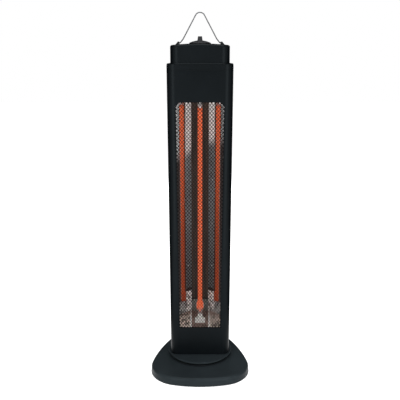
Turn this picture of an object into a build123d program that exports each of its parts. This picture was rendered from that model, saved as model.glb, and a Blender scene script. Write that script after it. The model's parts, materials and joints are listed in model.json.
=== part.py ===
"""Free-standing infrared tower heater on a swivelling base.

Millimetres, +Z up, front towards -Y. The origin lies on the floor under the
swivel axis, which is also the middle of the base's footprint.
"""
from math import cos, radians, sin, sqrt, tan
import os

from build123d import *

# ---------------------------------------------------------------- clearances
SEAT_GAP = 0.3          # between fixed pieces that are slid or dropped into place
RUNNING_GAP = 0.1       # radial, shaft in its bore
GLIDE_GAP = 0.2         # between faces that slide over each other
CUT_OVER = 2.0          # how far a cutting tool runs past the face it cuts

# ---------------------------------------------------------------------- base
BASE_REACH = 135.8      # swivel axis to the footprint's front and rear ends
BASE_CORNER_X = 46.0    # centre of a front corner arc, from the middle
BASE_CORNER_R = 73.8
BASE_FRONT_R = 258.0
BASE_SIDE_R = 400.0
BASE_REAR_R = 76.0
BASE_TOP_Z = 21.3
BASE_RIM_Z = 1.5        # lower edge of the rim above the floor
BASE_WALL = 2.9
BASE_DRAFT = 4.0        # degrees
BASE_EDGE_R = 7.0
FOOT_R = 9.0
FOOT_HEIGHT = 2.5
FOOT_PLUG_R = 3.5
FOOT_ANGLES = [-49.0, -131.0, 59.5, 120.5]     # degrees from +X
FOOT_INSET = 16.0       # foot's centre inside the footprint
FOOT_CHAMFER = 0.6
PLATE_THICK = 2.0
BOSS_R = 5.0
BASE_SCREW_R = 1.8
SCREW_HEAD_R = 3.4
SCREW_HEAD_H = 1.3
BASE_SCREW_LENGTH = 10.0
BASE_SCREW_ANGLES = [-29.5, -150.5, 40.5, 139.5]
BASE_SCREW_INSET = 18.5
BALLAST_THICK = 8.0
BALLAST_INSET = 9.0
BALLAST_REAR_Y = -30.0
BALLAST_HOLE_GAP = 1.0

# ------------------------------------------------------------ swivel bearing
SPINDLE_R = 10.0
SPINDLE_BORE_R = 7.5
SPINDLE_BOTTOM_Z = 9.2
SPINDLE_FLANGE_R = 17.0
SPINDLE_FLANGE_H = 2.0
BUSH_WALL = 3.0
BUSH_FLANGE_R = 18.0
BUSH_FLANGE_H = 1.8
BUSH_LENGTH = 7.0       # below the flange
BOSS_WALL = 4.0
RETAINER_R = 15.5
RETAINER_THICK = 1.6
NUT_R = 13.5
GLIDE_RING_R = 68.0
GLIDE_RING_WIDTH = 4.0

# ----------------------------------------------------------------- turntable
DISC_R = 78.5
DISC_TOP_Z = 32.3
DISC_WALL = 3.0
DISC_EDGE_R = 1.2
DISC_FLANGE_H = 3.4         # thin rim that overhangs the skirt
DISC_OVERHANG = 4.2
SWING_LIMIT = 35.0      # degrees each way
CRANK_LIMIT = 90.0      # degrees each way, turned by the motor
MOTOR_X = -35.0
MOTOR_R = 21.0
MOTOR_HEIGHT = 15.0
MOTOR_EDGE_R = 1.5
MOTOR_LUG_X = 26.0      # fixing lugs, from the motor's centre
MOTOR_LUG_WIDTH = 7.0
MOTOR_LUG_THICK = 1.0
MOTOR_SHAFT_R = 2.5
MOTOR_SHAFT_DEPTH = 4.0     # shaft inside the motor
CRANK_THICK = 1.8
CRANK_WIDTH = 7.0
CRANK_PIN_R = 2.5
CRANK_PIN_DEPTH = 2.0       # pin below the base's top face
SLOT_PLATE_THICK = 1.5
SLOT_PLATE_RIM = 8.0        # plate beside the slot
SLOT_PLATE_CORNER_R = 2.0
SLOT_SIDE_GAP = 0.4
SLOT_SHELL_GAP = 1.0        # slot in the base shell, wider than in the plate
HUB_CLEARANCE = 3.0

# --------------------------------------------------------------- tower shell
SHELL_BOTTOM_Z = 33.3
TRIM_BOTTOM_Z = 727.0
CAP_BOTTOM_Z = 736.0
TOWER_HALF_BOTTOM = 72.3    # half width at the lower edge
TOWER_HALF_TOP = 75.0       # half width under the cap
TOWER_FRONT = 37.0          # swivel axis to the flat front face
TOWER_REAR = 62.0           # swivel axis to the middle of the rounded back
FRONT_CORNER_R = 18.0
SHELL_WALL = 1.8
NECK_INSET = 4.0
FLOOR_THICK = 3.0
SEAM_GROOVE = 0.8

# -------------------------------------------------------------------- window
WINDOW_BOTTOM_Z = 104.8
WINDOW_TOP_Z = 656.0
WINDOW_HALF_BOTTOM = 49.5
WINDOW_HALF_TOP = 54.6
WINDOW_TOP_R = 13.0
WINDOW_BOTTOM_R = 2.0
WINDOW_BEVEL = 0.7
MESH_THICK = 1.0
MESH_LAP = 2.2              # mesh beyond the window's edge, all round
MESH_FRAME_THICK = 1.5
MESH_COLUMNS = 7
MESH_ROWS = 41
MESH_WIRE = 1.4
MESH_BORDER = 3.0

# ------------------------------------------------- heating element, reflector
TUBE_Y = -12.0
TUBE_R = 6.0
TUBE_WALL = 1.0
TUBE_BOTTOM_Z = 118.0
TUBE_TOP_Z = 676.0
HEAT_BOTTOM_Z = 133.0
HEAT_TOP_Z = 643.0
TUBE_SEAL = 2.0             # solid quartz at each end
RIBBON_HALF = 4.0
RIBBON_THICK = 0.8
CLAMP_R = 4.2
CLAMP_LENGTH = 5.0
CLAMP_LAP = 2.0
END_CAP_R = 7.2
END_CAP_LAP = 5.0           # ceramic end over the tube
LOWER_END_LENGTH = 21.0
UPPER_END_LENGTH = 14.0
HOLDER_HALF = 12.5
HOLDER_CHEEK = 2.0          # block beside the ceramic end
HOLDER_NECK_HALF = 5.5
HOLDER_SHOULDER_R = 3.0
HOLDER_SHOULDER_Z = 125.0
HOLDER_FRONT_Y = -23.0
HOLDER_THICK = 3.0
HOLDER_BACK_Y = -4.0
HOLDER_TOP_Z = 136.0
FORK_DEPTH = 6.0
FORK_SLOT_HALF = 1.2
FORK_TAPER = 1.0
CLIP_BOTTOM_Z = 143.0
CLIP_HEIGHT = 22.0
CLIP_THICK = 0.8
CLIP_EAR_X = 10.0           # points of the ears
CLIP_MOUTH_DEPTH = 2.5      # open front, from the tube's middle
CLIP_LEG_HALF = 2.2
BRACKET_HALF = 9.0
BRACKET_THICK = 1.5
BRACKET_FRONT_Y = -21.0
BRACKET_TAB = 10.0
BRACKET_LOOM_GAP = 1.5
REFLECTOR_THICK = 0.8
REFLECTOR_HALF = 20.5       # half width of the flat middle panel
REFLECTOR_Y = 18.0          # face of the middle panel
WING_ANGLE = 37.0           # degrees, wings forward of the middle panel
WING_LAP = 1.5              # wing's outer fold beyond the window's edge
SILL_SLOPE_DEPTH = 23.0
SILL_SLOPE_RISE = 20.2
SHELF_RISE = 2.0
SILL_THICK = 1.0
SILL_SINK = 1.5             # middle strip of the sill below its sides
END_PLATE_GAP = 3.0         # upper end reflector above the window's top

# ------------------------------------------------------------ inner structure
CHASSIS_HALF = 24.0
CHASSIS_THICK = 1.2
CHASSIS_WEB_Y = 38.0
TOP_PLATE_Z = 719.0
TOP_PLATE_THICK = 1.5
SHIELD_HALF = 42.0
SHIELD_THICK = 0.6
COVER_BOSS_R = 5.0
COVER_SCREW_R = 1.6
COVER_SCREW_Z = [62.0, 280.0, 500.0, 700.0]
VENT_ROWS = 14
VENT_PITCH = 9.0
VENT_HEIGHT = 4.0
VENT_INNER_X = 9.0
VENT_OUTER_X = 46.0
VENT_CENTRES_Z = [170.0, 600.0]
LEAD_R = 2.0
LOOM_R = 2.6
LOOM_Y = 29.0
LOOM_END_Y = 8.0
LOOM_RISE = 14.0            # straight length above the connector
LOOM_SLANT = 30.0           # height of the slanted length into the channel
LOOM_LEAVE = 29.0           # below the top plate, where it leaves the channel
LOOM_DROP = 14.0            # straight length under the switch
LOOM_BENDS = [10.0, 20.0, 30.0, 14.0]
LOOM_PLATE_Y = 17.5         # where the wires cross the top plate
LOOM_HOLE_GAP = 4.0
LEAD_HOLE_GAP = 2.0
LEAD_RISE = 8.0
LEAD_DROP = 10.0
LEAD_TAIL = 16.0
LEAD_BENDS = [8.0, 6.0]
TAIL_BENDS = [8.0, 8.0]
TERMINAL_THICK = 12.0
TERMINAL_Z = 112.0
CUTOUT_R = 7.0
CUTOUT_H = 5.0
CUTOUT_X = 28.0
CUTOUT_TAB = 3.0

# ------------------------------------------------------------------- top cap
CAP_HALF = 66.6
CAP_FRONT = 32.0
CAP_REAR = 54.0
CAP_LIP_H = 3.5
CAP_LIP_INSET = 0.3
CAP_FLARE_R = 4.0
CAP_CROWN_Z = 783.6         # highest point of the slightly domed top
CAP_CROWN_R = 600.0
CAP_EDGE_R = 4.0
CAP_WALL = 2.0
LUG_INNER_X = 45.8
LUG_TIP_WIDTH = 4.0
LUG_OUTER_X = 56.5
LUG_TOP_Z = 787.7
LUG_DEPTH = 8.0
LUG_EDGE_R = 1.5
BAIL_WIRE_R = 1.25
BAIL_PIVOT_Z = 785.0
BAIL_FOOT_X = 44.4
BAIL_END_X = 50.5
BAIL_KNEE_X = 37.8          # slight bend between foot and leg
BAIL_KNEE_RISE = 8.0
BAIL_LEG_ANGLE = 61.5       # degrees above the horizontal
BAIL_APEX_R = 11.1
BAIL_KNEE_R = 30.0
BAIL_FOOT_R = 2.8

# -------------------------------------------------------- knob, rotary switch
KNOB_R = 24.5
KNOB_GAP = 0.5
KNOB_RIM_H = 0.8
KNOB_DOME_H = 6.2
KNOB_SHOULDER_R = 13.5      # where the dome starts to fall away
KNOB_SHOULDER_DROP = 1.6
GRIP_EDGE_R = 1.6
GRIP_ROOF = 4.0             # solid grip above the shaft
KNOB_NUT_GAP = 2.0
GRIP_TOP_Z = 799.0
GRIP_HALF_TOP = 4.6
GRIP_HALF_BOTTOM = 6.6
GRIP_END_R = 21.0
SWITCH_SHAFT_R = 3.0
SWITCH_BUSHING_R = 5.0
SWITCH_SIZE = 32.0
SWITCH_HEIGHT = 20.0
SWITCH_NUT_R = 8.0
SWITCH_NUT_H = 2.2
SWITCH_CORNER_R = 3.0
SWITCH_DEPTH = 16.0         # shaft inside the switch

# ------------------------------------------------- tip-over switch, cord entry
TIP_X = 44.0
TIP_Y = 40.0
TIP_HALF_X = 12.0
TIP_HALF_Y = 10.0
TIP_BOX_H = 12.0
TIP_SHOULDER = 2.5
TIP_ROOF = 1.5
PLUNGER_EDGE_R = 1.0
PLUNGER_R = 3.8
PLUNGER_FLANGE_R = 5.4
PLUNGER_FLANGE_H = 1.5
PLUNGER_TRAVEL = 4.0
PLUNGER_TIP_Z = 0.2
GLAND_R = 5.5
GLAND_BORE_R = 3.6
GLAND_FLANGE_R = 7.5
GLAND_Z = 10.5
GLAND_FLANGE_H = 1.3
GLAND_LENGTH = 12.0
TERMINAL_HALF = 15.0
TERMINAL_DEPTH = 16.0
TERMINAL_H = 9.0
TERMINAL_GAP = 14.0         # block to the gland, room for the wires
RISER_BEND_R = 8.0
RISER_TOP_Z = 48.0
CONNECTOR_HALF = 6.0
CONNECTOR_H = 10.0

# ------------------------------------------------------------- derived values
PLATE_BOTTOM_Z = FOOT_HEIGHT
PLATE_TOP_Z = PLATE_BOTTOM_Z + PLATE_THICK
BASE_CEILING_Z = BASE_TOP_Z - BASE_WALL
BUSH_TOP_Z = BASE_TOP_Z + BUSH_FLANGE_H
DISC_BOTTOM_Z = BUSH_TOP_Z + GLIDE_GAP
DISC_CEILING_Z = DISC_TOP_Z - DISC_WALL
BUSH_BOTTOM_Z = BASE_TOP_Z - BUSH_LENGTH
BUSH_OUTER_R = SPINDLE_R + RUNNING_GAP + BUSH_WALL
CRANK_REACH = abs(MOTOR_X) * tan(radians(SWING_LIMIT))
CRANK_TOP_Z = DISC_CEILING_Z - GLIDE_GAP
CRANK_BOTTOM_Z = CRANK_TOP_Z - CRANK_THICK
FLOOR_TOP_Z = SHELL_BOTTOM_Z + FLOOR_THICK
WINDOW_HEIGHT = WINDOW_TOP_Z - WINDOW_BOTTOM_Z
SHELL_FACE_Y = -TOWER_FRONT + SHELL_WALL        # back of the front wall
MESH_Y = SHELL_FACE_Y + SEAT_GAP
FRAME_Y = MESH_Y + MESH_THICK
REFLECTOR_FRONT_Y = FRAME_Y + MESH_FRAME_THICK + SEAT_GAP
TOP_END_Z = WINDOW_TOP_Z + END_PLATE_GAP
KNOB_BOTTOM_Z = CAP_CROWN_Z + KNOB_GAP
SWITCH_TOP_Z = CAP_CROWN_Z - CAP_WALL - SEAT_GAP - SWITCH_SIZE ** 2 / (4 * CAP_CROWN_R)
SWITCH_BOTTOM_Z = SWITCH_TOP_Z - SWITCH_HEIGHT
BUSHING_TOP_Z = CAP_CROWN_Z + SWITCH_NUT_H + KNOB_GAP
LOWER_END_TOP_Z = TUBE_BOTTOM_Z + END_CAP_LAP
LOWER_END_Z = LOWER_END_TOP_Z - LOWER_END_LENGTH
UPPER_END_Z = TUBE_TOP_Z - END_CAP_LAP
UPPER_END_TOP_Z = UPPER_END_Z + UPPER_END_LENGTH
WEB_BACK_Y = CHASSIS_WEB_Y + CHASSIS_THICK
FLANGE_FRONT_Y = REFLECTOR_Y + REFLECTOR_THICK + SEAT_GAP
CONNECTOR_Z = RISER_TOP_Z + SEAT_GAP
SHELF_Z = WINDOW_BOTTOM_Z + SILL_SLOPE_RISE
SILL_KNEE_Y = REFLECTOR_FRONT_Y + SILL_SLOPE_DEPTH
GLAND_RECESS = 0.1
GLAND_OUTER_Y = BASE_REACH - GLAND_RECESS
GLAND_INNER_Y = BASE_REACH - GLAND_LENGTH
TERMINAL_FRONT_Y = GLAND_INNER_Y - TERMINAL_GAP - TERMINAL_DEPTH
CAP_LIP_Z = CAP_BOTTOM_Z + CAP_LIP_H


def tower_half_width(z):
    """Half width of the tapered tower at height z."""
    share = (z - SHELL_BOTTOM_Z) / (CAP_BOTTOM_Z - SHELL_BOTTOM_Z)
    return TOWER_HALF_BOTTOM + share * (TOWER_HALF_TOP - TOWER_HALF_BOTTOM)


def window_half_width(z):
    """Half width of the tapered window at height z."""
    share = (z - WINDOW_BOTTOM_Z) / WINDOW_HEIGHT
    return WINDOW_HALF_BOTTOM + share * (WINDOW_HALF_TOP - WINDOW_HALF_BOTTOM)


def arc_about(centre, start, end):
    """Arc from start to end, the short way round the given centre."""
    a = start - centre
    b = end - centre
    middle = centre + (a + b).normalized() * a.length
    return ThreePointArc(start, middle, end)


def touch_point(outer, outer_r, inner, grow):
    """Point where a circle inside a larger one touches it, both grown alike."""
    return outer + (inner - outer).normalized() * (outer_r + grow)


def egg_face(z, grow=0.0):
    """Rounded footprint made of seven tangent arcs, grown or shrunk all round."""
    front = Vector(0, BASE_FRONT_R - BASE_REACH)
    drop = sqrt((BASE_FRONT_R - BASE_CORNER_R) ** 2 - BASE_CORNER_X ** 2)
    corner = Vector(BASE_CORNER_X, front.Y - drop)
    rear = Vector(0, BASE_REACH - BASE_REAR_R)
    to_rear = rear - corner
    near = BASE_SIDE_R - BASE_CORNER_R
    far = BASE_SIDE_R - BASE_REAR_R
    along = (near ** 2 - far ** 2 + to_rear.length ** 2) / (2 * to_rear.length)
    across = sqrt(near ** 2 - along ** 2)
    unit = to_rear.normalized()
    side = corner + unit * along - Vector(unit.Y, -unit.X) * across
    a = touch_point(front, BASE_FRONT_R, corner, grow)
    b = touch_point(side, BASE_SIDE_R, corner, grow)
    c = touch_point(side, BASE_SIDE_R, rear, grow)
    mirror_a = Vector(-a.X, a.Y)
    rear_end = Vector(0, rear.Y + BASE_REAR_R + grow)
    right = [arc_about(corner, a, b), arc_about(side, b, c), arc_about(rear, c, rear_end)]
    left = [edge.mirror(Plane.YZ) for edge in right]
    outline = Wire([arc_about(front, mirror_a, a)] + right + left)
    return Pos(0, 0, z) * Face(outline)


def plan_face(half, front, rear, corner_r, z):
    """Tower plan: flat front, rounded front corners, half ellipse behind."""
    back = Ellipse(half, rear) & (Pos(0, rear) * Rectangle(2 * half, 2 * rear))
    box = Pos(0, -front / 2) * Rectangle(2 * half, front)
    corners = box.vertices().sort_by(Axis.Y)[:2]
    return Pos(0, 0, z) * (back + fillet(corners, corner_r))


def tower_face(z, inset=0.0):
    """Plan of the tower at height z, drawn in by an inset."""
    half = tower_half_width(z) - inset
    return plan_face(half, TOWER_FRONT - inset, TOWER_REAR - inset, FRONT_CORNER_R - inset, z)


def tower_block(bottom, top, inset=0.0):
    """Solid tower between two heights, with its taper."""
    return loft([tower_face(bottom, inset).face(), tower_face(top, inset).face()], ruled=True)


def cylinder_z(radius, bottom, top, x=0.0, y=0.0):
    """Upright cylinder between two heights."""
    return extrude(Pos(x, y, bottom) * Circle(radius), top - bottom)


def cylinder_y(radius, near, far, x=0.0, z=0.0):
    """Cylinder along Y between two depths."""
    plane = Plane(origin=(x, near, z), x_dir=(1, 0, 0), z_dir=(0, 1, 0))
    return extrude(plane * Circle(radius), far - near)


def block(x_range, y_range, z_range):
    """Box between three pairs of limits."""
    size = [high - low for low, high in (x_range, y_range, z_range)]
    centre = [(high + low) / 2 for low, high in (x_range, y_range, z_range)]
    return Pos(*centre) * Box(*size)


def front_plane(depth):
    """Upright plane at a depth, drawn on in x and z."""
    return Plane(origin=(0, depth, 0), x_dir=(1, 0, 0), z_dir=(0, -1, 0))


def front_prism(face_xz, near, far):
    """Extrude a face drawn in x and z along Y between two depths."""
    return extrude(front_plane(near) * face_xz, far - near, dir=(0, 1, 0))


def side_prism(face_yz, half_width):
    """Extrude a face drawn in y and z across the middle, half to each side."""
    plane = Plane(origin=(-half_width, 0, 0), x_dir=(0, 1, 0), z_dir=(1, 0, 0))
    return extrude(plane * face_yz, 2 * half_width, dir=(1, 0, 0))


def tube_along(points, radii, tube_r):
    """Round tube along straight runs joined by arcs."""
    path = FilletPolyline(*points, radius=radii)
    start = Plane(origin=path @ 0, z_dir=path % 0)
    return sweep(start * Circle(tube_r), path=path)


def window_face(grow=0.0):
    """Tapered window outline in x and z, grown all round."""
    low = WINDOW_BOTTOM_Z - grow
    high = WINDOW_TOP_Z + grow
    bottom = window_half_width(low) + grow
    top = window_half_width(high) + grow
    points = [(-bottom, low), (bottom, low), (top, high), (-top, high)]
    outline = Polygon(*points, align=None)
    corners = outline.vertices().sort_by(Axis.Y)
    outline = fillet(corners[2:], WINDOW_TOP_R + grow)
    return fillet(outline.vertices().sort_by(Axis.Y)[:2], WINDOW_BOTTOM_R + grow)


def outline_spots(angles, inset):
    """Points in given directions from the middle, set inside the footprint."""
    spots = []
    for angle in angles:
        ray = Line((0, 0), Vector(2 * BASE_REACH, 0).rotate(Axis.Z, angle))
        end = (ray & egg_face(0, -inset)) @ 1
        spots.append((end.X, end.Y))
    return spots


FOOT_SPOTS = outline_spots(FOOT_ANGLES, FOOT_INSET)
BASE_SCREW_SPOTS = outline_spots(BASE_SCREW_ANGLES, BASE_SCREW_INSET)


# ====================================================================== base
def base_shell():
    outer = extrude(egg_face(BASE_RIM_Z), BASE_TOP_Z - BASE_RIM_Z, taper=BASE_DRAFT)
    outer = fillet(outer.edges().group_by(Axis.Z)[-1], BASE_EDGE_R)
    inner = extrude(
        egg_face(BASE_RIM_Z, -BASE_WALL), BASE_CEILING_Z - BASE_RIM_Z, taper=BASE_DRAFT
    )
    shell = outer - inner
    shell += cylinder_z(BUSH_OUTER_R + BOSS_WALL, BUSH_BOTTOM_Z, BASE_CEILING_Z)
    shell -= cylinder_z(BUSH_OUTER_R, BUSH_BOTTOM_Z, BASE_TOP_Z)
    for x, y in BASE_SCREW_SPOTS:
        shell += cylinder_z(BOSS_R, PLATE_TOP_Z, BASE_CEILING_Z, x, y)
        shell -= cylinder_z(BASE_SCREW_R, PLATE_TOP_Z, PLATE_BOTTOM_Z + BASE_SCREW_LENGTH, x, y)
    shell -= slot_cut(BASE_CEILING_Z, BASE_TOP_Z, SLOT_SHELL_GAP)
    shell -= cylinder_y(GLAND_R, GLAND_INNER_Y, BASE_REACH + CUT_OVER, z=GLAND_Z)
    seat = GLAND_OUTER_Y - GLAND_FLANGE_H
    return shell - cylinder_y(GLAND_FLANGE_R + SEAT_GAP, seat, BASE_REACH + CUT_OVER, z=GLAND_Z)


def base_bottom_plate():
    plate = extrude(egg_face(PLATE_BOTTOM_Z, -BASE_WALL - 2 * SEAT_GAP), PLATE_THICK)
    for x, y in FOOT_SPOTS:
        plate -= cylinder_z(FOOT_PLUG_R, PLATE_BOTTOM_Z, PLATE_TOP_Z, x, y)
    for x, y in BASE_SCREW_SPOTS:
        plate -= cylinder_z(BASE_SCREW_R, PLATE_BOTTOM_Z, PLATE_TOP_Z, x, y)
    hole_r = PLUNGER_R + SEAT_GAP
    return plate - cylinder_z(hole_r, PLATE_BOTTOM_Z, PLATE_TOP_Z, TIP_X, TIP_Y)


def rubber_feet():
    feet = []
    for x, y in FOOT_SPOTS:
        pad = cylinder_z(FOOT_R, 0, FOOT_HEIGHT, x, y)
        pad = chamfer(pad.edges().group_by(Axis.Z)[0], FOOT_CHAMFER)
        feet.append(pad + cylinder_z(FOOT_PLUG_R, FOOT_HEIGHT, PLATE_TOP_Z, x, y))
    return Compound(children=feet)


def base_screws():
    screws = []
    for x, y in BASE_SCREW_SPOTS:
        head = cylinder_z(SCREW_HEAD_R, PLATE_BOTTOM_Z - SCREW_HEAD_H, PLATE_BOTTOM_Z, x, y)
        shank_top = PLATE_BOTTOM_Z + BASE_SCREW_LENGTH
        screws.append(head + cylinder_z(BASE_SCREW_R, PLATE_BOTTOM_Z, shank_top, x, y))
    return Compound(children=screws)


def ballast_weight():
    slab = extrude(egg_face(PLATE_TOP_Z, -BALLAST_INSET), BALLAST_THICK)
    width = 4 * BASE_REACH
    slab -= block((-width, width), (BALLAST_REAR_Y, width), (0, BASE_TOP_Z))
    for x, y in BASE_SCREW_SPOTS:
        slab -= cylinder_z(BOSS_R + BALLAST_HOLE_GAP, PLATE_TOP_Z, BASE_CEILING_Z, x, y)
    return slab


# ============================================================ swivel bearing
def pivot_bush():
    bush = cylinder_z(BUSH_OUTER_R, BUSH_BOTTOM_Z, BASE_TOP_Z)
    bush += cylinder_z(BUSH_FLANGE_R, BASE_TOP_Z, BUSH_TOP_Z)
    return bush - cylinder_z(SPINDLE_R + RUNNING_GAP, BUSH_BOTTOM_Z, BUSH_TOP_Z)


def glide_ring():
    outer = GLIDE_RING_R + GLIDE_RING_WIDTH / 2
    inner = GLIDE_RING_R - GLIDE_RING_WIDTH / 2
    ring = cylinder_z(outer, BASE_TOP_Z, BUSH_TOP_Z)
    return ring - cylinder_z(inner, BASE_TOP_Z, BUSH_TOP_Z)


def pivot_spindle():
    spindle = cylinder_z(SPINDLE_R, SPINDLE_BOTTOM_Z, DISC_TOP_Z)
    spindle += cylinder_z(SPINDLE_FLANGE_R, DISC_TOP_Z, DISC_TOP_Z + SPINDLE_FLANGE_H)
    return spindle - cylinder_z(SPINDLE_BORE_R, SPINDLE_BOTTOM_Z, DISC_TOP_Z + SPINDLE_FLANGE_H)


def retaining_washer():
    top = BUSH_BOTTOM_Z - GLIDE_GAP
    washer = cylinder_z(RETAINER_R, top - RETAINER_THICK, top)
    return washer - cylinder_z(SPINDLE_R, top - RETAINER_THICK, top)


def spindle_nut():
    top = BUSH_BOTTOM_Z - GLIDE_GAP - RETAINER_THICK
    nut = extrude(Pos(0, 0, SPINDLE_BOTTOM_Z) * RegularPolygon(NUT_R, 6), top - SPINDLE_BOTTOM_Z)
    return nut - cylinder_z(SPINDLE_R, SPINDLE_BOTTOM_Z, top)


# ================================================================= turntable
def turntable_disc():
    disc = cylinder_z(DISC_R, DISC_TOP_Z - DISC_FLANGE_H, DISC_TOP_Z)
    disc = fillet(disc.edges().group_by(Axis.Z)[-1], DISC_EDGE_R)
    skirt_r = DISC_R - DISC_OVERHANG
    disc += cylinder_z(skirt_r, DISC_BOTTOM_Z, DISC_TOP_Z - DISC_FLANGE_H)
    ring_outer = GLIDE_RING_R + GLIDE_RING_WIDTH / 2
    hollow = cylinder_z(skirt_r - DISC_WALL, DISC_BOTTOM_Z, DISC_CEILING_Z)
    track = cylinder_z(ring_outer, DISC_BOTTOM_Z, DISC_CEILING_Z)
    track -= cylinder_z(ring_outer - GLIDE_RING_WIDTH, DISC_BOTTOM_Z, DISC_CEILING_Z)
    hub = cylinder_z(BUSH_FLANGE_R, DISC_BOTTOM_Z, DISC_CEILING_Z)
    disc = disc - hollow + track + hub
    disc -= cylinder_z(SPINDLE_R, DISC_BOTTOM_Z, DISC_TOP_Z)
    return disc - cylinder_z(MOTOR_SHAFT_R + SEAT_GAP, DISC_BOTTOM_Z, DISC_TOP_Z, MOTOR_X)


def pin_spot(swing):
    """Where the crank pin stands over the base when the tower has swung."""
    turn = -radians(swing) * CRANK_LIMIT / SWING_LIMIT
    local = Vector(MOTOR_X - CRANK_REACH * cos(turn), -CRANK_REACH * sin(turn))
    return local.rotate(Axis.Z, swing)


def slot_size():
    """Near end, far end and half width of the slot that the crank pin sweeps."""
    spots = [pin_spot(swing) for swing in range(0, int(SWING_LIMIT) + 1)]
    half = max(abs(spot.Y) for spot in spots) + CRANK_PIN_R + SLOT_SIDE_GAP
    return min(abs(spot.X) for spot in spots), max(abs(spot.X) for spot in spots), half


def slot_cut(bottom, top, margin=0.0):
    """Straight slot that takes the crank pin over the tower's whole swing."""
    near, far, half = slot_size()
    slot = SlotCenterToCenter(far - near, 2 * (half + margin))
    return extrude(Pos(-(far + near) / 2, 0, bottom) * slot, top - bottom)


def slot_plate():
    """Guide plate on the base that the crank pin pushes against."""
    top = BASE_TOP_Z + SLOT_PLATE_THICK
    inner_x = -(BUSH_FLANGE_R + HUB_CLEARANCE)
    outer_x = -(GLIDE_RING_R - GLIDE_RING_WIDTH / 2 - SEAT_GAP)
    middle = (inner_x + outer_x) / 2
    width = 2 * (slot_size()[2] + SLOT_PLATE_RIM)
    outline = RectangleRounded(inner_x - outer_x, width, SLOT_PLATE_CORNER_R)
    plate = extrude(Pos(middle, 0, BASE_TOP_Z) * outline, SLOT_PLATE_THICK)
    limit = cylinder_z(-outer_x, BASE_TOP_Z, top)
    return (plate & limit) - slot_cut(BASE_TOP_Z, top)


def crank_arm():
    tip_x = MOTOR_X - CRANK_REACH
    bar = SlotCenterToCenter(CRANK_REACH, CRANK_WIDTH)
    arm = extrude(Pos(MOTOR_X - CRANK_REACH / 2, 0, CRANK_BOTTOM_Z) * bar, CRANK_THICK)
    arm += cylinder_z(CRANK_PIN_R, BASE_TOP_Z - CRANK_PIN_DEPTH, CRANK_BOTTOM_Z, tip_x)
    return arm - cylinder_z(MOTOR_SHAFT_R, CRANK_BOTTOM_Z, CRANK_TOP_Z, MOTOR_X)


def motor_shaft():
    return cylinder_z(MOTOR_SHAFT_R, CRANK_BOTTOM_Z, FLOOR_TOP_Z + MOTOR_SHAFT_DEPTH, MOTOR_X)


def swing_motor():
    top = FLOOR_TOP_Z + MOTOR_HEIGHT
    can = cylinder_z(MOTOR_R, FLOOR_TOP_Z, top, MOTOR_X)
    can = fillet(can.edges().group_by(Axis.Z)[-1], MOTOR_EDGE_R)
    lug = Rot(0, 0, 90) * SlotCenterToCenter(2 * MOTOR_LUG_X, MOTOR_LUG_WIDTH)
    can += extrude(Pos(MOTOR_X, 0, FLOOR_TOP_Z) * lug, MOTOR_LUG_THICK)
    depth = MOTOR_SHAFT_DEPTH + SEAT_GAP
    return can - cylinder_z(MOTOR_SHAFT_R + SEAT_GAP, FLOOR_TOP_Z, FLOOR_TOP_Z + depth, MOTOR_X)


# =============================================================== tower shell
def tower_shell():
    """Both covers together, before they are parted."""
    shell = tower_block(SHELL_BOTTOM_Z, TRIM_BOTTOM_Z)
    return shell - tower_block(SHELL_BOTTOM_Z, TRIM_BOTTOM_Z, SHELL_WALL)


def front_cover():
    wide = 2 * TOWER_HALF_TOP
    front = block((-wide, wide), (-wide, 0), (0, CAP_BOTTOM_Z))
    cover = tower_shell() & front
    cover -= front_prism(window_face(), -TOWER_FRONT - CUT_OVER, SHELL_FACE_Y + CUT_OVER)
    rim = front_plane(-TOWER_FRONT) * window_face(WINDOW_BEVEL)
    throat = front_plane(-TOWER_FRONT + WINDOW_BEVEL) * window_face()
    return cover - loft([rim.face(), throat.face()], ruled=True)


def vent_cuts():
    """Rows of short air slots, either side of the middle."""
    width = VENT_OUTER_X - VENT_INNER_X
    middle = (VENT_OUTER_X + VENT_INNER_X) / 2
    cuts = []
    for centre in VENT_CENTRES_Z:
        for row in range(VENT_ROWS):
            z = centre + (row - (VENT_ROWS - 1) / 2) * VENT_PITCH
            for side in (-1, 1):
                slot = Pos(side * middle, z) * SlotOverall(width, VENT_HEIGHT)
                cuts.append(front_prism(slot, 0, TOWER_REAR + CUT_OVER))
    return cuts


def rear_cover():
    wide = 2 * TOWER_HALF_TOP
    rear = block((-wide, wide), (0, wide), (0, CAP_BOTTOM_Z))
    cover = (tower_shell() & rear) - vent_cuts()
    boss_start = CHASSIS_WEB_Y + CHASSIS_THICK
    for z in COVER_SCREW_Z:
        cover += cylinder_y(COVER_BOSS_R, boss_start, TOWER_REAR - SHELL_WALL / 2, z=z)
        cover -= cylinder_y(SCREW_HEAD_R, TOWER_REAR - SCREW_HEAD_H, TOWER_REAR + CUT_OVER, z=z)
        cover -= cylinder_y(COVER_SCREW_R, boss_start, TOWER_REAR, z=z)
    return cover


def cover_screws():
    screws = []
    for z in COVER_SCREW_Z:
        head = cylinder_y(SCREW_HEAD_R, TOWER_REAR - SCREW_HEAD_H, TOWER_REAR, z=z)
        screws.append(head + cylinder_y(COVER_SCREW_R, CHASSIS_WEB_Y, TOWER_REAR, z=z))
    return Compound(children=screws)


def trim_band():
    low = TRIM_BOTTOM_Z + SEAM_GROOVE
    band = tower_block(low, CAP_BOTTOM_Z)
    groove = tower_block(TRIM_BOTTOM_Z, low, SEAM_GROOVE)
    return band + groove - tower_block(TRIM_BOTTOM_Z, CAP_BOTTOM_Z, SHELL_WALL + SEAM_GROOVE)


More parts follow.
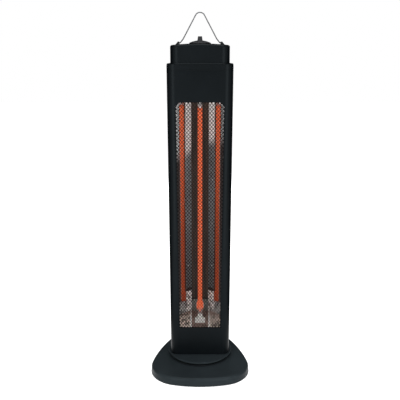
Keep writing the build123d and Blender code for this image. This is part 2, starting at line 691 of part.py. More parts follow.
def tower_floor():
    neck = tower_block(DISC_TOP_Z, SHELL_BOTTOM_Z, NECK_INSET)
    plate = tower_block(SHELL_BOTTOM_Z, FLOOR_TOP_Z, SHELL_WALL + SEAT_GAP)
    floor = neck + plate
    floor -= cylinder_z(SPINDLE_FLANGE_R + SEAT_GAP, DISC_TOP_Z, DISC_TOP_Z + SPINDLE_FLANGE_H)
    floor -= cylinder_z(SPINDLE_BORE_R, DISC_TOP_Z, FLOOR_TOP_Z)
    return floor - cylinder_z(MOTOR_SHAFT_R + SEAT_GAP, DISC_TOP_Z, FLOOR_TOP_Z, MOTOR_X)


# ==================================================================== window
def guard_mesh():
    """Flat guard with staggered diamond gaps, one holed face thickened."""
    outline = window_face(MESH_LAP).face().outer_wire()
    pitch_z = (WINDOW_HEIGHT - 2 * MESH_BORDER) / MESH_ROWS
    gaps = []
    for row in range(MESH_ROWS):
        z = WINDOW_BOTTOM_Z + MESH_BORDER + (row + 0.5) * pitch_z
        shift = row % 2
        usable = 2 * (window_half_width(z - pitch_z) - MESH_BORDER)
        pitch_x = usable / MESH_COLUMNS
        for column in range(MESH_COLUMNS - shift):
            x = (column - (MESH_COLUMNS - 1 - shift) / 2) * pitch_x
            half_x = pitch_x / 2 - MESH_WIRE / 2
            half_z = pitch_z - MESH_WIRE
            if row in (0, MESH_ROWS - 1):
                half_z = pitch_z / 2
            points = [(x - half_x, z), (x, z - half_z), (x + half_x, z), (x, z + half_z)]
            gaps.append(Wire.make_polygon([Vector(*point) for point in points]))
    return front_prism(Face(outline, gaps), MESH_Y, FRAME_Y)


def mesh_frame():
    ring = window_face(MESH_LAP) - window_face()
    return front_prism(ring, FRAME_Y, FRAME_Y + MESH_FRAME_THICK)


# ========================================================= heating, reflector
def wing_end(z):
    """Outer front end of a reflector wing at height z."""
    x = window_half_width(z) + WING_LAP
    return x, REFLECTOR_Y - (x - REFLECTOR_HALF) * tan(radians(WING_ANGLE))


def trough_face(z, grow):
    """Section of the open trough between the liners and the reflector."""
    end_x, end_y = wing_end(z)
    lift = grow / cos(radians(WING_ANGLE))
    knee = grow * tan(radians(WING_ANGLE / 2))
    half = [
        (end_x + grow, REFLECTOR_FRONT_Y),
        (end_x + grow, end_y + lift - grow * tan(radians(WING_ANGLE))),
        (REFLECTOR_HALF + knee, REFLECTOR_Y + grow),
    ]
    mirrored = [(-x, y) for x, y in reversed(half)]
    return Pos(0, 0, z) * Polygon(*(half + mirrored), align=None)


def upright_sheet(outline_at):
    """Sheet over the window's height whose section is given at any height."""
    heights = (WINDOW_BOTTOM_Z - MESH_LAP, TOP_END_Z)
    faces = [Pos(0, 0, z) * Polygon(*outline_at(z), align=None) for z in heights]
    return loft([face.face() for face in faces], ruled=True)


def mirrored_pair(solid):
    return Compound(children=[solid, solid.mirror(Plane.YZ)])


def rear_panel():
    """Flat dark panel straight behind the element."""
    low = WINDOW_BOTTOM_Z - MESH_LAP
    half = REFLECTOR_HALF
    back = REFLECTOR_Y + REFLECTOR_THICK
    return block((-half, half), (REFLECTOR_Y, back), (low, TOP_END_Z))


def reflector_wings():
    """Two polished wings that stand forward at an angle beside the rear panel."""
    thick = REFLECTOR_THICK / cos(radians(WING_ANGLE))

    def outline(z):
        end_x, end_y = wing_end(z)
        return [
            (REFLECTOR_HALF, REFLECTOR_Y),
            (end_x, end_y),
            (end_x, end_y + thick),
            (REFLECTOR_HALF, REFLECTOR_Y + thick),
        ]

    return mirrored_pair(upright_sheet(outline))


def side_liners():
    """Two dark strips that close the trough between the wings and the mesh."""

    def outline(z):
        end_x, end_y = wing_end(z)
        outer = end_x + REFLECTOR_THICK
        return [
            (end_x, REFLECTOR_FRONT_Y),
            (outer, REFLECTOR_FRONT_Y),
            (outer, end_y + REFLECTOR_THICK),
            (end_x, end_y + REFLECTOR_THICK),
        ]

    return mirrored_pair(upright_sheet(outline))


def inside_trough(solid):
    """Trim a solid to the open trough, with a small gap."""
    heights = (WINDOW_BOTTOM_Z - MESH_LAP, TOP_END_Z)
    faces = [trough_face(z, -SEAT_GAP).face() for z in heights]
    return solid & loft(faces, ruled=True)


def sill_profile(drop, sink=0.0):
    """Side outline of the sill under the element, sunk and then down to a drop."""
    back = REFLECTOR_Y - SEAT_GAP
    front = (REFLECTOR_FRONT_Y, WINDOW_BOTTOM_Z)
    ridge = [front, (SILL_KNEE_Y, SHELF_Z), (back, SHELF_Z + SHELF_RISE)]
    top = [(y, z - sink) for y, z in ridge]
    bottom = [(y, z - drop) for y, z in reversed(top)]
    return Polygon(*(top + bottom), align=None)


def lower_end_reflector():
    """Bright sill under the element: a slope and a shelf, sunk in the middle."""
    half = REFLECTOR_HALF
    reach = WINDOW_HALF_TOP
    sheet = side_prism(sill_profile(SILL_THICK + SILL_SINK), reach + WING_LAP)
    sheet -= side_prism(sill_profile(2 * SILL_SINK, -SILL_SINK), half)
    under = side_prism(sill_profile(2 * SILL_SINK, SILL_THICK), reach)
    for side in (-1, 1):
        sheet -= Pos(side * (reach + half + SILL_THICK), 0, 0) * under
    sheet = inside_trough(sheet)
    return sheet - cylinder_z(END_CAP_R + SEAT_GAP, LOWER_END_Z, HOLDER_TOP_Z, 0, TUBE_Y)


def upper_end_reflector():
    plate = extrude(trough_face(TOP_END_Z, REFLECTOR_THICK), REFLECTOR_THICK)
    top = TOP_END_Z + REFLECTOR_THICK
    return plate - cylinder_z(TUBE_R + SEAT_GAP, TOP_END_Z, top, 0, TUBE_Y)


def quartz_tube():
    tube = cylinder_z(TUBE_R, TUBE_BOTTOM_Z, TUBE_TOP_Z, 0, TUBE_Y)
    bore_r = TUBE_R - TUBE_WALL
    return tube - cylinder_z(bore_r, TUBE_BOTTOM_Z + TUBE_SEAL, TUBE_TOP_Z - TUBE_SEAL, 0, TUBE_Y)


def heating_filament():
    """Carbon ribbon stretched between its two end leads."""
    width = 2 * RIBBON_HALF
    ribbon = Pos(0, TUBE_Y, HEAT_BOTTOM_Z) * Rectangle(width, RIBBON_THICK)
    strip = extrude(ribbon, HEAT_TOP_Z - HEAT_BOTTOM_Z)
    for low, high in (
        (TUBE_BOTTOM_Z + TUBE_SEAL, HEAT_BOTTOM_Z),
        (HEAT_TOP_Z, TUBE_TOP_Z - TUBE_SEAL),
    ):
        strip += cylinder_z(RIBBON_THICK, low, high, 0, TUBE_Y)
    return strip


def filament_clamps():
    """Metal clamps that hold the ribbon at both ends of the heated length."""
    clamps = []
    for low, high in (
        (HEAT_BOTTOM_Z - CLAMP_LENGTH, HEAT_BOTTOM_Z + CLAMP_LAP),
        (HEAT_TOP_Z - CLAMP_LAP, HEAT_TOP_Z + CLAMP_LENGTH),
    ):
        clamps.append(cylinder_z(CLAMP_R, low, high, 0, TUBE_Y) - heating_filament())
    return Compound(children=clamps)


def lower_ceramic_end():
    end = cylinder_z(END_CAP_R, LOWER_END_Z, LOWER_END_TOP_Z, 0, TUBE_Y)
    return end - cylinder_z(TUBE_R, TUBE_BOTTOM_Z, LOWER_END_TOP_Z, 0, TUBE_Y)


def upper_ceramic_end():
    end = cylinder_z(END_CAP_R, UPPER_END_Z, UPPER_END_TOP_Z, 0, TUBE_Y)
    return end - cylinder_z(TUBE_R, UPPER_END_Z, TUBE_TOP_Z, 0, TUBE_Y)


def tube_saddle():
    """White forked saddle standing on the sloped sill in front of the tube's end."""
    low = WINDOW_BOTTOM_Z
    crotch = HOLDER_TOP_Z - FORK_DEPTH
    neck = HOLDER_NECK_HALF + HOLDER_SHOULDER_R
    tip = HOLDER_TOP_Z - FORK_TAPER
    with BuildSketch() as fork:
        with BuildLine():
            Line((0, low), (HOLDER_HALF, low))
            Line((HOLDER_HALF, low), (HOLDER_HALF, HOLDER_SHOULDER_Z))
            Line((HOLDER_HALF, HOLDER_SHOULDER_Z), (neck, HOLDER_SHOULDER_Z))
            RadiusArc(
                (neck, HOLDER_SHOULDER_Z),
                (HOLDER_NECK_HALF, HOLDER_SHOULDER_Z + HOLDER_SHOULDER_R),
                HOLDER_SHOULDER_R,
            )
            Polyline(
                (HOLDER_NECK_HALF, HOLDER_SHOULDER_Z + HOLDER_SHOULDER_R),
                (HOLDER_NECK_HALF, tip),
                (HOLDER_NECK_HALF - FORK_TAPER, HOLDER_TOP_Z),
                (FORK_SLOT_HALF + FORK_TAPER, HOLDER_TOP_Z),
                (FORK_SLOT_HALF, tip),
                (FORK_SLOT_HALF, crotch),
                (0, crotch),
                (0, low),
            )
        make_face()
        mirror(about=Plane.YZ)
    saddle = front_prism(fork.sketch, HOLDER_FRONT_Y, HOLDER_FRONT_Y + HOLDER_THICK)
    depth = (HOLDER_FRONT_Y + HOLDER_THICK, HOLDER_BACK_Y)
    half = END_CAP_R + HOLDER_CHEEK
    saddle += block((-half, half), depth, (low, LOWER_END_TOP_Z))
    saddle -= side_prism(sill_profile(HOLDER_TOP_Z, SILL_SINK - GLIDE_GAP), REFLECTOR_HALF)
    return saddle - cylinder_z(END_CAP_R + SEAT_GAP, LOWER_END_Z, HOLDER_TOP_Z, 0, TUBE_Y)


def tube_clip():
    """Sprung metal clip, open in front, with two pointed ears beside the tube."""
    low, high = CLIP_BOTTOM_Z, CLIP_BOTTOM_Z + CLIP_HEIGHT
    outer_r = TUBE_R + SEAT_GAP + CLIP_THICK
    half = CLIP_THICK / 2
    root = outer_r - half
    ears = Polygon(
        (-root, low), (root, low), (CLIP_EAR_X, (low + high) / 2),
        (root, high), (-root, high), (-CLIP_EAR_X, (low + high) / 2),
        align=None,
    )
    clip = cylinder_z(outer_r, low, high, 0, TUBE_Y)
    clip += front_prism(ears, TUBE_Y - half, TUBE_Y + half)
    clip -= cylinder_z(TUBE_R + SEAT_GAP, low, high, 0, TUBE_Y)
    mouth = (TUBE_Y - outer_r - CUT_OVER, TUBE_Y - CLIP_MOUTH_DEPTH)
    clip -= block((-outer_r, outer_r), mouth, (low, high))
    back = TUBE_Y + outer_r
    leg_low = LOWER_END_TOP_Z + GLIDE_GAP
    return clip + block((-CLIP_LEG_HALF, CLIP_LEG_HALF), (back - CLIP_THICK, back), (leg_low, low))


def tube_bracket(bottom, tab_top):
    """Level steel bracket from the chassis web to one end of the tube."""
    back = CHASSIS_WEB_Y
    x_range = (-BRACKET_HALF, BRACKET_HALF)
    arm = block(x_range, (BRACKET_FRONT_Y, back), (bottom, bottom + BRACKET_THICK))
    low, high = sorted((bottom, bottom + (BRACKET_TAB if tab_top else -BRACKET_TAB)))
    arm += block(x_range, (back - BRACKET_THICK, back), (low, high))
    arm -= cylinder_z(LEAD_R + SEAT_GAP, low, high + BRACKET_THICK, 0, TUBE_Y)
    gap_half = LOOM_R + BRACKET_LOOM_GAP
    gap = (2 * LOOM_Y - back, back - BRACKET_THICK)
    return arm - block((-gap_half, gap_half), gap, (low, high + BRACKET_THICK))


def lower_tube_bracket():
    return tube_bracket(LOWER_END_Z - BRACKET_THICK, False)


def upper_tube_bracket():
    return tube_bracket(UPPER_END_TOP_Z, True)


# =========================================================== inner structure
def chassis():
    """Steel channel that carries everything between the floor and the top plate."""
    outer = block(
        (-CHASSIS_HALF, CHASSIS_HALF), (FLANGE_FRONT_Y, WEB_BACK_Y), (FLOOR_TOP_Z, TOP_PLATE_Z)
    )
    inner_half = CHASSIS_HALF - CHASSIS_THICK
    channel = outer - block(
        (-inner_half, inner_half), (FLANGE_FRONT_Y, CHASSIS_WEB_Y), (FLOOR_TOP_Z, TOP_PLATE_Z)
    )
    for z in COVER_SCREW_Z:
        channel -= cylinder_y(COVER_SCREW_R, CHASSIS_WEB_Y, WEB_BACK_Y, z=z)
    return channel


def heat_shield():
    """Thin sheet behind the chassis that keeps the rear cover cool."""
    shield = block(
        (-SHIELD_HALF, SHIELD_HALF),
        (WEB_BACK_Y, WEB_BACK_Y + SHIELD_THICK),
        (WINDOW_BOTTOM_Z, WINDOW_TOP_Z),
    )
    for z in COVER_SCREW_Z:
        shield -= cylinder_y(COVER_BOSS_R + SEAT_GAP, WEB_BACK_Y, TOWER_REAR, z=z)
    return shield


def top_plate():
    high = TOP_PLATE_Z + TOP_PLATE_THICK
    plate = tower_block(TOP_PLATE_Z, high, SHELL_WALL + SEAT_GAP)
    plate -= cylinder_z(LOOM_R + LOOM_HOLE_GAP, TOP_PLATE_Z, high, 0, LOOM_PLATE_Y)
    return plate - cylinder_z(LEAD_R + LEAD_HOLE_GAP, TOP_PLATE_Z, high, 0, TUBE_Y)


def thermal_cutout():
    low = TOP_END_Z + REFLECTOR_THICK
    high = low + CUTOUT_H
    body = cylinder_z(CUTOUT_R, low, high, CUTOUT_X)
    half = REFLECTOR_THICK
    x_range = (CUTOUT_X - CUTOUT_R, CUTOUT_X + CUTOUT_R)
    return body + block(x_range, (-half, half), (low, high + CUTOUT_TAB))


def tower_terminal_block():
    x_range = (-CHASSIS_HALF + CHASSIS_THICK + SEAT_GAP, -LOOM_R - LEAD_R)
    y_range = (CHASSIS_WEB_Y - TERMINAL_THICK, CHASSIS_WEB_Y)
    return block(x_range, y_range, (TERMINAL_Z, TERMINAL_Z + 2 * TERMINAL_DEPTH))


def loom_connector():
    half = CONNECTOR_HALF
    return block((-half, half), (-half, half), (CONNECTOR_Z, CONNECTOR_Z + CONNECTOR_H))


def tower_loom():
    """Wires from the connector up the channel to the switch."""
    start = CONNECTOR_Z + CONNECTOR_H
    points = [
        (0, 0, start),
        (0, 0, start + LOOM_RISE),
        (0, LOOM_Y, start + LOOM_RISE + LOOM_SLANT),
        (0, LOOM_Y, TOP_PLATE_Z - LOOM_LEAVE),
        (0, LOOM_END_Y, SWITCH_BOTTOM_Z - LOOM_DROP),
        (0, LOOM_END_Y, SWITCH_BOTTOM_Z),
    ]
    return tube_along(points, LOOM_BENDS, LOOM_R)


def element_leads():
    """Insulated wires at the two ends of the heating element."""
    upper = [
        (0, TUBE_Y, UPPER_END_TOP_Z),
        (0, TUBE_Y, TOP_PLATE_Z + LEAD_RISE),
        (0, -LOOM_END_Y, SWITCH_BOTTOM_Z - LEAD_DROP),
        (0, -LOOM_END_Y, SWITCH_BOTTOM_Z),
    ]
    block_x = -CHASSIS_HALF / 2
    block_y = CHASSIS_WEB_Y - TERMINAL_THICK / 2
    lower = [
        (0, TUBE_Y, LOWER_END_Z),
        (0, TUBE_Y, LOWER_END_Z - LEAD_TAIL),
        (block_x, block_y, TERMINAL_Z - LEAD_TAIL),
        (block_x, block_y, TERMINAL_Z),
    ]
    tubes = [tube_along(upper, LEAD_BENDS, LEAD_R), tube_along(lower, TAIL_BENDS, LEAD_R)]
    return Compound(children=tubes)


# ==================================================================== top cap
def cap_plan(inset):
    """Plan of the cap's upper part, drawn in by an inset."""
    rear = CAP_REAR - inset
    return plan_face(CAP_HALF - inset, CAP_FRONT - inset, rear, FRONT_CORNER_R - inset, CAP_BOTTOM_Z)


def cap_block(inset):
    """Upper part of the cap with its slightly domed top."""
    column = extrude(cap_plan(inset), CAP_CROWN_Z + CUT_OVER - CAP_BOTTOM_Z)
    return column & (Pos(0, 0, CAP_CROWN_Z - CAP_CROWN_R) * Sphere(CAP_CROWN_R - inset))


def filled_cap():
    """Cap without its hollow: a column on a wider lip, with a flare between."""
    cap = cap_block(0.0)
    cap = fillet(cap.edges().group_by(Axis.Z)[-1], CAP_EDGE_R)
    cap += extrude(tower_face(CAP_BOTTOM_Z, CAP_LIP_INSET), CAP_LIP_H)
    foot = (Pos(0, 0, CAP_LIP_H) * cap_plan(0.0)).face().outer_wire()
    joint = [edge for edge in cap.edges() if foot.distance_to(edge @ 0.5) < SEAT_GAP]
    return fillet(joint, CAP_FLARE_R)


def top_cap():
    cap = filled_cap() - cap_block(CAP_WALL)
    return cap - cylinder_z(SWITCH_BUSHING_R + SEAT_GAP, CAP_BOTTOM_Z, CAP_CROWN_Z + CUT_OVER)


def bail_lugs():
    """Pair of sloped ears on the cap that hold the ends of the bail."""
    low = CAP_CROWN_Z - 2 * CAP_WALL
    tip_x = LUG_INNER_X + LUG_TIP_WIDTH
    points = [(LUG_INNER_X, low), (LUG_OUTER_X, low), (tip_x, LUG_TOP_Z), (LUG_INNER_X, LUG_TOP_Z)]
    lug = front_prism(Polygon(*points, align=None), -LUG_DEPTH / 2, LUG_DEPTH / 2)
    lug = fillet(lug.edges().filter_by(Axis.Y).group_by(Axis.Z)[-1], LUG_EDGE_R)
    lug -= filled_cap()
    axis = Plane(origin=(LUG_INNER_X, 0, BAIL_PIVOT_Z), z_dir=(1, 0, 0))
    lug -= extrude(axis * Circle(BAIL_WIRE_R + RUNNING_GAP), BAIL_END_X - LUG_INNER_X + SEAT_GAP)
    return mirrored_pair(lug)


def bail_handle():
    """Thin wire loop that folds over the cap."""
    knee_z = BAIL_PIVOT_Z + BAIL_KNEE_RISE
    apex_z = knee_z + BAIL_KNEE_X * tan(radians(BAIL_LEG_ANGLE))
    points = [
        (-BAIL_END_X, 0, BAIL_PIVOT_Z),
        (-BAIL_FOOT_X, 0, BAIL_PIVOT_Z),
        (-BAIL_KNEE_X, 0, knee_z),
        (0, 0, apex_z),
        (BAIL_KNEE_X, 0, knee_z),
        (BAIL_FOOT_X, 0, BAIL_PIVOT_Z),
        (BAIL_END_X, 0, BAIL_PIVOT_Z),
    ]
    bends = [BAIL_FOOT_R, BAIL_KNEE_R, BAIL_APEX_R, BAIL_KNEE_R, BAIL_FOOT_R]
    return tube_along(points, bends, BAIL_WIRE_R)


# ======================================================== knob, rotary switch
def control_knob():
    """Shallow domed knob with a tall grip across it."""
    rim_z = KNOB_BOTTOM_Z + KNOB_RIM_H
    top_z = KNOB_BOTTOM_Z + KNOB_DOME_H
    with BuildPart() as dome:
        with BuildSketch(Plane.XZ):
            with BuildLine():
                Polyline((KNOB_R, rim_z), (KNOB_R, KNOB_BOTTOM_Z), (0, KNOB_BOTTOM_Z), (0, top_z))
                shoulder = (KNOB_SHOULDER_R, top_z - KNOB_SHOULDER_DROP)
                ThreePointArc((0, top_z), shoulder, (KNOB_R, rim_z))
            make_face()
        revolve(axis=Axis.Z)
    low = KNOB_BOTTOM_Z + KNOB_RIM_H
    points = [(-GRIP_HALF_BOTTOM, low), (GRIP_HALF_BOTTOM, low)]
    points += [(GRIP_HALF_TOP, GRIP_TOP_Z), (-GRIP_HALF_TOP, GRIP_TOP_Z)]
    grip = front_prism(Polygon(*points, align=None), -KNOB_R, KNOB_R)
    grip &= cylinder_z(GRIP_END_R, KNOB_BOTTOM_Z, GRIP_TOP_Z)
    grip = fillet(grip.edges().group_by(Axis.Z)[-1], GRIP_EDGE_R)
    knob = dome.part + grip
    nut_top = BUSHING_TOP_Z + SEAT_GAP
    knob -= cylinder_z(SWITCH_NUT_R + KNOB_NUT_GAP, KNOB_BOTTOM_Z, nut_top)
    return knob - cylinder_z(SWITCH_SHAFT_R, KNOB_BOTTOM_Z, GRIP_TOP_Z - GRIP_ROOF)


def switch_shaft():
    return cylinder_z(SWITCH_SHAFT_R, SWITCH_TOP_Z - SWITCH_DEPTH, GRIP_TOP_Z - GRIP_ROOF)


def rotary_switch():
    half = SWITCH_SIZE / 2
    body = block((-half, half), (-half, half), (SWITCH_BOTTOM_Z, SWITCH_TOP_Z))
    body = fillet(body.edges().filter_by(Axis.Z), SWITCH_CORNER_R)
    body += cylinder_z(SWITCH_BUSHING_R, SWITCH_TOP_Z, BUSHING_TOP_Z)
    bore_r = SWITCH_SHAFT_R + RUNNING_GAP
    return body - cylinder_z(bore_r, SWITCH_TOP_Z - SWITCH_DEPTH - GLIDE_GAP, BUSHING_TOP_Z)


def switch_nut():
    low = CAP_CROWN_Z
    nut = extrude(Pos(0, 0, low) * RegularPolygon(SWITCH_NUT_R, 6), SWITCH_NUT_H)
    return nut - cylinder_z(SWITCH_BUSHING_R, low, low + SWITCH_NUT_H)


# ================================================= tip-over switch, cord entry
def tip_switch_housing():
    z_range = (PLATE_TOP_Z, PLATE_TOP_Z + TIP_BOX_H)
    x_range = (TIP_X - TIP_HALF_X, TIP_X + TIP_HALF_X)
    box = block(x_range, (TIP_Y - TIP_HALF_Y, TIP_Y + TIP_HALF_Y), z_range)
    shoulder = PLATE_TOP_Z + TIP_SHOULDER
    box -= cylinder_z(PLUNGER_R + RUNNING_GAP, PLATE_TOP_Z, shoulder, TIP_X, TIP_Y)
    top = z_range[1] - TIP_ROOF
    return box - cylinder_z(PLUNGER_FLANGE_R + SEAT_GAP, shoulder, top, TIP_X, TIP_Y)


def tip_plunger():
    """Pin under the base that drops when the heater is lifted or falls."""
    flange = PLATE_TOP_Z + TIP_SHOULDER + PLUNGER_TRAVEL + GLIDE_GAP
    pin = cylinder_z(PLUNGER_R, PLUNGER_TIP_Z, flange, TIP_X, TIP_Y)
    pin = fillet(pin.edges().group_by(Axis.Z)[0], PLUNGER_EDGE_R)
    return pin + cylinder_z(PLUNGER_FLANGE_R, flange, flange + PLUNGER_FLANGE_H, TIP_X, TIP_Y)


def cord_gland():
    seat = GLAND_OUTER_Y - GLAND_FLANGE_H
    gland = cylinder_y(GLAND_R, GLAND_INNER_Y, seat, z=GLAND_Z)
    gland += cylinder_y(GLAND_FLANGE_R, seat, GLAND_OUTER_Y, z=GLAND_Z)
    return gland - cylinder_y(GLAND_BORE_R, GLAND_INNER_Y, GLAND_OUTER_Y, z=GLAND_Z)


def base_terminal_block():
    y_range = (TERMINAL_FRONT_Y, TERMINAL_FRONT_Y + TERMINAL_DEPTH)
    return block((-TERMINAL_HALF, TERMINAL_HALF), y_range, (PLATE_TOP_Z, PLATE_TOP_Z + TERMINAL_H))


def riser_lead():
    """Wires from the terminal block up through the hollow spindle."""
    z = PLATE_TOP_Z + LEAD_R
    points = [(0, TERMINAL_FRONT_Y, z), (0, 0, z), (0, 0, RISER_TOP_Z)]
    return tube_along(points, [RISER_BEND_R], LEAD_R)


SUB_PARTS = [
    base_shell, base_bottom_plate, rubber_feet, base_screws, ballast_weight,
    pivot_bush, glide_ring, slot_plate, tip_switch_housing, tip_plunger,
    cord_gland, base_terminal_block, riser_lead,
    pivot_spindle, retaining_washer, spindle_nut, turntable_disc, tower_floor,
    swing_motor, motor_shaft, crank_arm,
    front_cover, rear_cover, cover_screws, trim_band, guard_mesh, mesh_frame,
    rear_panel, reflector_wings, side_liners, lower_end_reflector, upper_end_reflector,
    quartz_tube, heating_filament, filament_clamps, lower_ceramic_end, upper_ceramic_end,
    tube_saddle, tube_clip, lower_tube_bracket, upper_tube_bracket,
    chassis, heat_shield, top_plate, thermal_cutout, tower_terminal_block,
    loom_connector, tower_loom, element_leads,
    top_cap, bail_lugs, bail_handle, control_knob, switch_shaft, rotary_switch, switch_nut,
]


def main():
    os.makedirs("parts", exist_ok=True)
    for make in SUB_PARTS:
        shape = make()
        export_step(shape, f"parts/{make.__name__}.step")
        box = shape.bounding_box()
        print(f"{make.__name__:22} {shape.volume:10.0f} mm3  z {box.min.Z:7.1f} to {box.max.Z:7.1f}")


if __name__ == "__main__":
    main()
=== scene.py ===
"""Infrared patio heater tower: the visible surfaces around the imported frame.

Metres, +Z up, front towards -Y, as in the frame. Fine pieces stand in for the
plain solids whose shape is too coarse, and every other solid gets the finish
of its real material.
"""

import json
import logging
import math
from dataclasses import dataclass, replace
from enum import Enum
from functools import cache, cached_property
from typing import Any, Callable, Mapping, Sequence, Union

import bmesh
import bpy
import numpy as np
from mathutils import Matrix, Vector

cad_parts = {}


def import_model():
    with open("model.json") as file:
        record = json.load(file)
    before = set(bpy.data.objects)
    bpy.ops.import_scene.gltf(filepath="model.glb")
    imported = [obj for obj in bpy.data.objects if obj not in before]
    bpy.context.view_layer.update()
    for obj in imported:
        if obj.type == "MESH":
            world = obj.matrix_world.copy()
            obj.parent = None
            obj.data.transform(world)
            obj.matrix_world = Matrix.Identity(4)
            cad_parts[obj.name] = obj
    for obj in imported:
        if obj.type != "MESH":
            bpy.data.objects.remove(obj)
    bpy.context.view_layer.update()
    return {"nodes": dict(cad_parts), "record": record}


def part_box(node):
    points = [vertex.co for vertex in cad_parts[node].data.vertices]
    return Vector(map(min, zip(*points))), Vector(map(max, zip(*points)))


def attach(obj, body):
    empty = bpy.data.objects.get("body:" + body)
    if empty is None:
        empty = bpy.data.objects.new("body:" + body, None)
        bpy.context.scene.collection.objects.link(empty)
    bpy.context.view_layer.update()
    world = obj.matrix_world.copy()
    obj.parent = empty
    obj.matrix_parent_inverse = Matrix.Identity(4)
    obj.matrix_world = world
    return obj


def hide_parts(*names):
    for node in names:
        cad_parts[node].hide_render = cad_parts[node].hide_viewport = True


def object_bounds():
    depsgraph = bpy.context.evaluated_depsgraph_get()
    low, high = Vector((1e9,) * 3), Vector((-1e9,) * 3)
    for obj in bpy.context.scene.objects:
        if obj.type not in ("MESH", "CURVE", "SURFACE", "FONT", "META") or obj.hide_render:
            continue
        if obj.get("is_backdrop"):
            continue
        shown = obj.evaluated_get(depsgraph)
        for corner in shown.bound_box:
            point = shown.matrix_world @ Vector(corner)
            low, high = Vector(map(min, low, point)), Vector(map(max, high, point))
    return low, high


log = logging.getLogger("patio_heater")

MM = 0.001
Colour = tuple[float, float, float]
Place = tuple[float, float, float]
Run = tuple[float, float, int]
Operand = Union["Signal", float]
Inputs = dict[str, Any]

BLACK: Colour = (0.0, 0.0, 0.0)
WHITE: Colour = (1.0, 1.0, 1.0)
UP = np.array([0, 0, 1.0])
BACK = np.array([0, 1.0, 0])
QUARTER = np.linspace(0, math.pi / 2, 7)

TAPE_FOOT_Z = 133.0 * MM
TAPE_TOP_Z = 643.0 * MM


class Body(str, Enum):
    """Bodies of the frame that the pieces ride on."""

    BASE = "base"
    TOWER = "tower"
    KNOB = "knob"
    BAIL = "bail"


# Shader maths
def math_method(operation: str, reflected: bool = False) -> Callable[..., "Signal"]:
    """Make a method of Signal that adds a Math node.

    Args:
        operation: The node's operation.
        reflected: Whether the method's own signal is the right operand.

    Returns:
        The method.
    """

    def method(own: "Signal", other: Operand = 0.0) -> "Signal":
        """Add the node and give its result."""
        first, second = (other, own) if reflected else (own, other)
        return own.graph.add("ShaderNodeMath", {"operation": operation}, {0: first, 1: second})

    return method


class Signal:
    """An output socket that takes part in arithmetic."""

    __add__ = __radd__ = math_method("ADD")
    __sub__ = math_method("SUBTRACT")
    __rsub__ = math_method("SUBTRACT", reflected=True)
    __mul__ = __rmul__ = math_method("MULTIPLY")
    __abs__ = math_method("ABSOLUTE")
    wave = math_method("SINE")
    largest = math_method("MAXIMUM")

    def __init__(self, graph: "Graph", socket: bpy.types.NodeSocket) -> None:
        """Wrap a socket of a graph."""
        self.graph = graph
        self.socket = socket

    def swing(self, size: float) -> "Signal":
        """Noise from 0 to 1 as a change about zero, this large from end to end."""
        return (self - 0.5) * size

    def step(self, low: float, high: float) -> "Signal":
        """Smooth step from 0 to 1.

        Args:
            low: Value at which the step is 0.
            high: Value at which it is 1, above or below the other.

        Returns:
            A factor from 0 to 1.
        """
        start, end = (0.0, 1.0) if low < high else (1.0, 0.0)
        values = {0: self, 1: min(low, high), 2: max(low, high), 3: start, 4: end}
        return self.graph.add("ShaderNodeMapRange", {"interpolation_type": "SMOOTHSTEP"}, values)

    def above(self, level: float, soft: float) -> "Signal":
        """1 above a level and 0 below it, with an edge this soft each way."""
        return self.step(level - soft, level + soft)

    def below(self, level: float, soft: float) -> "Signal":
        """1 below a level and 0 above it, with an edge this soft each way."""
        return self.step(level + soft, level - soft)


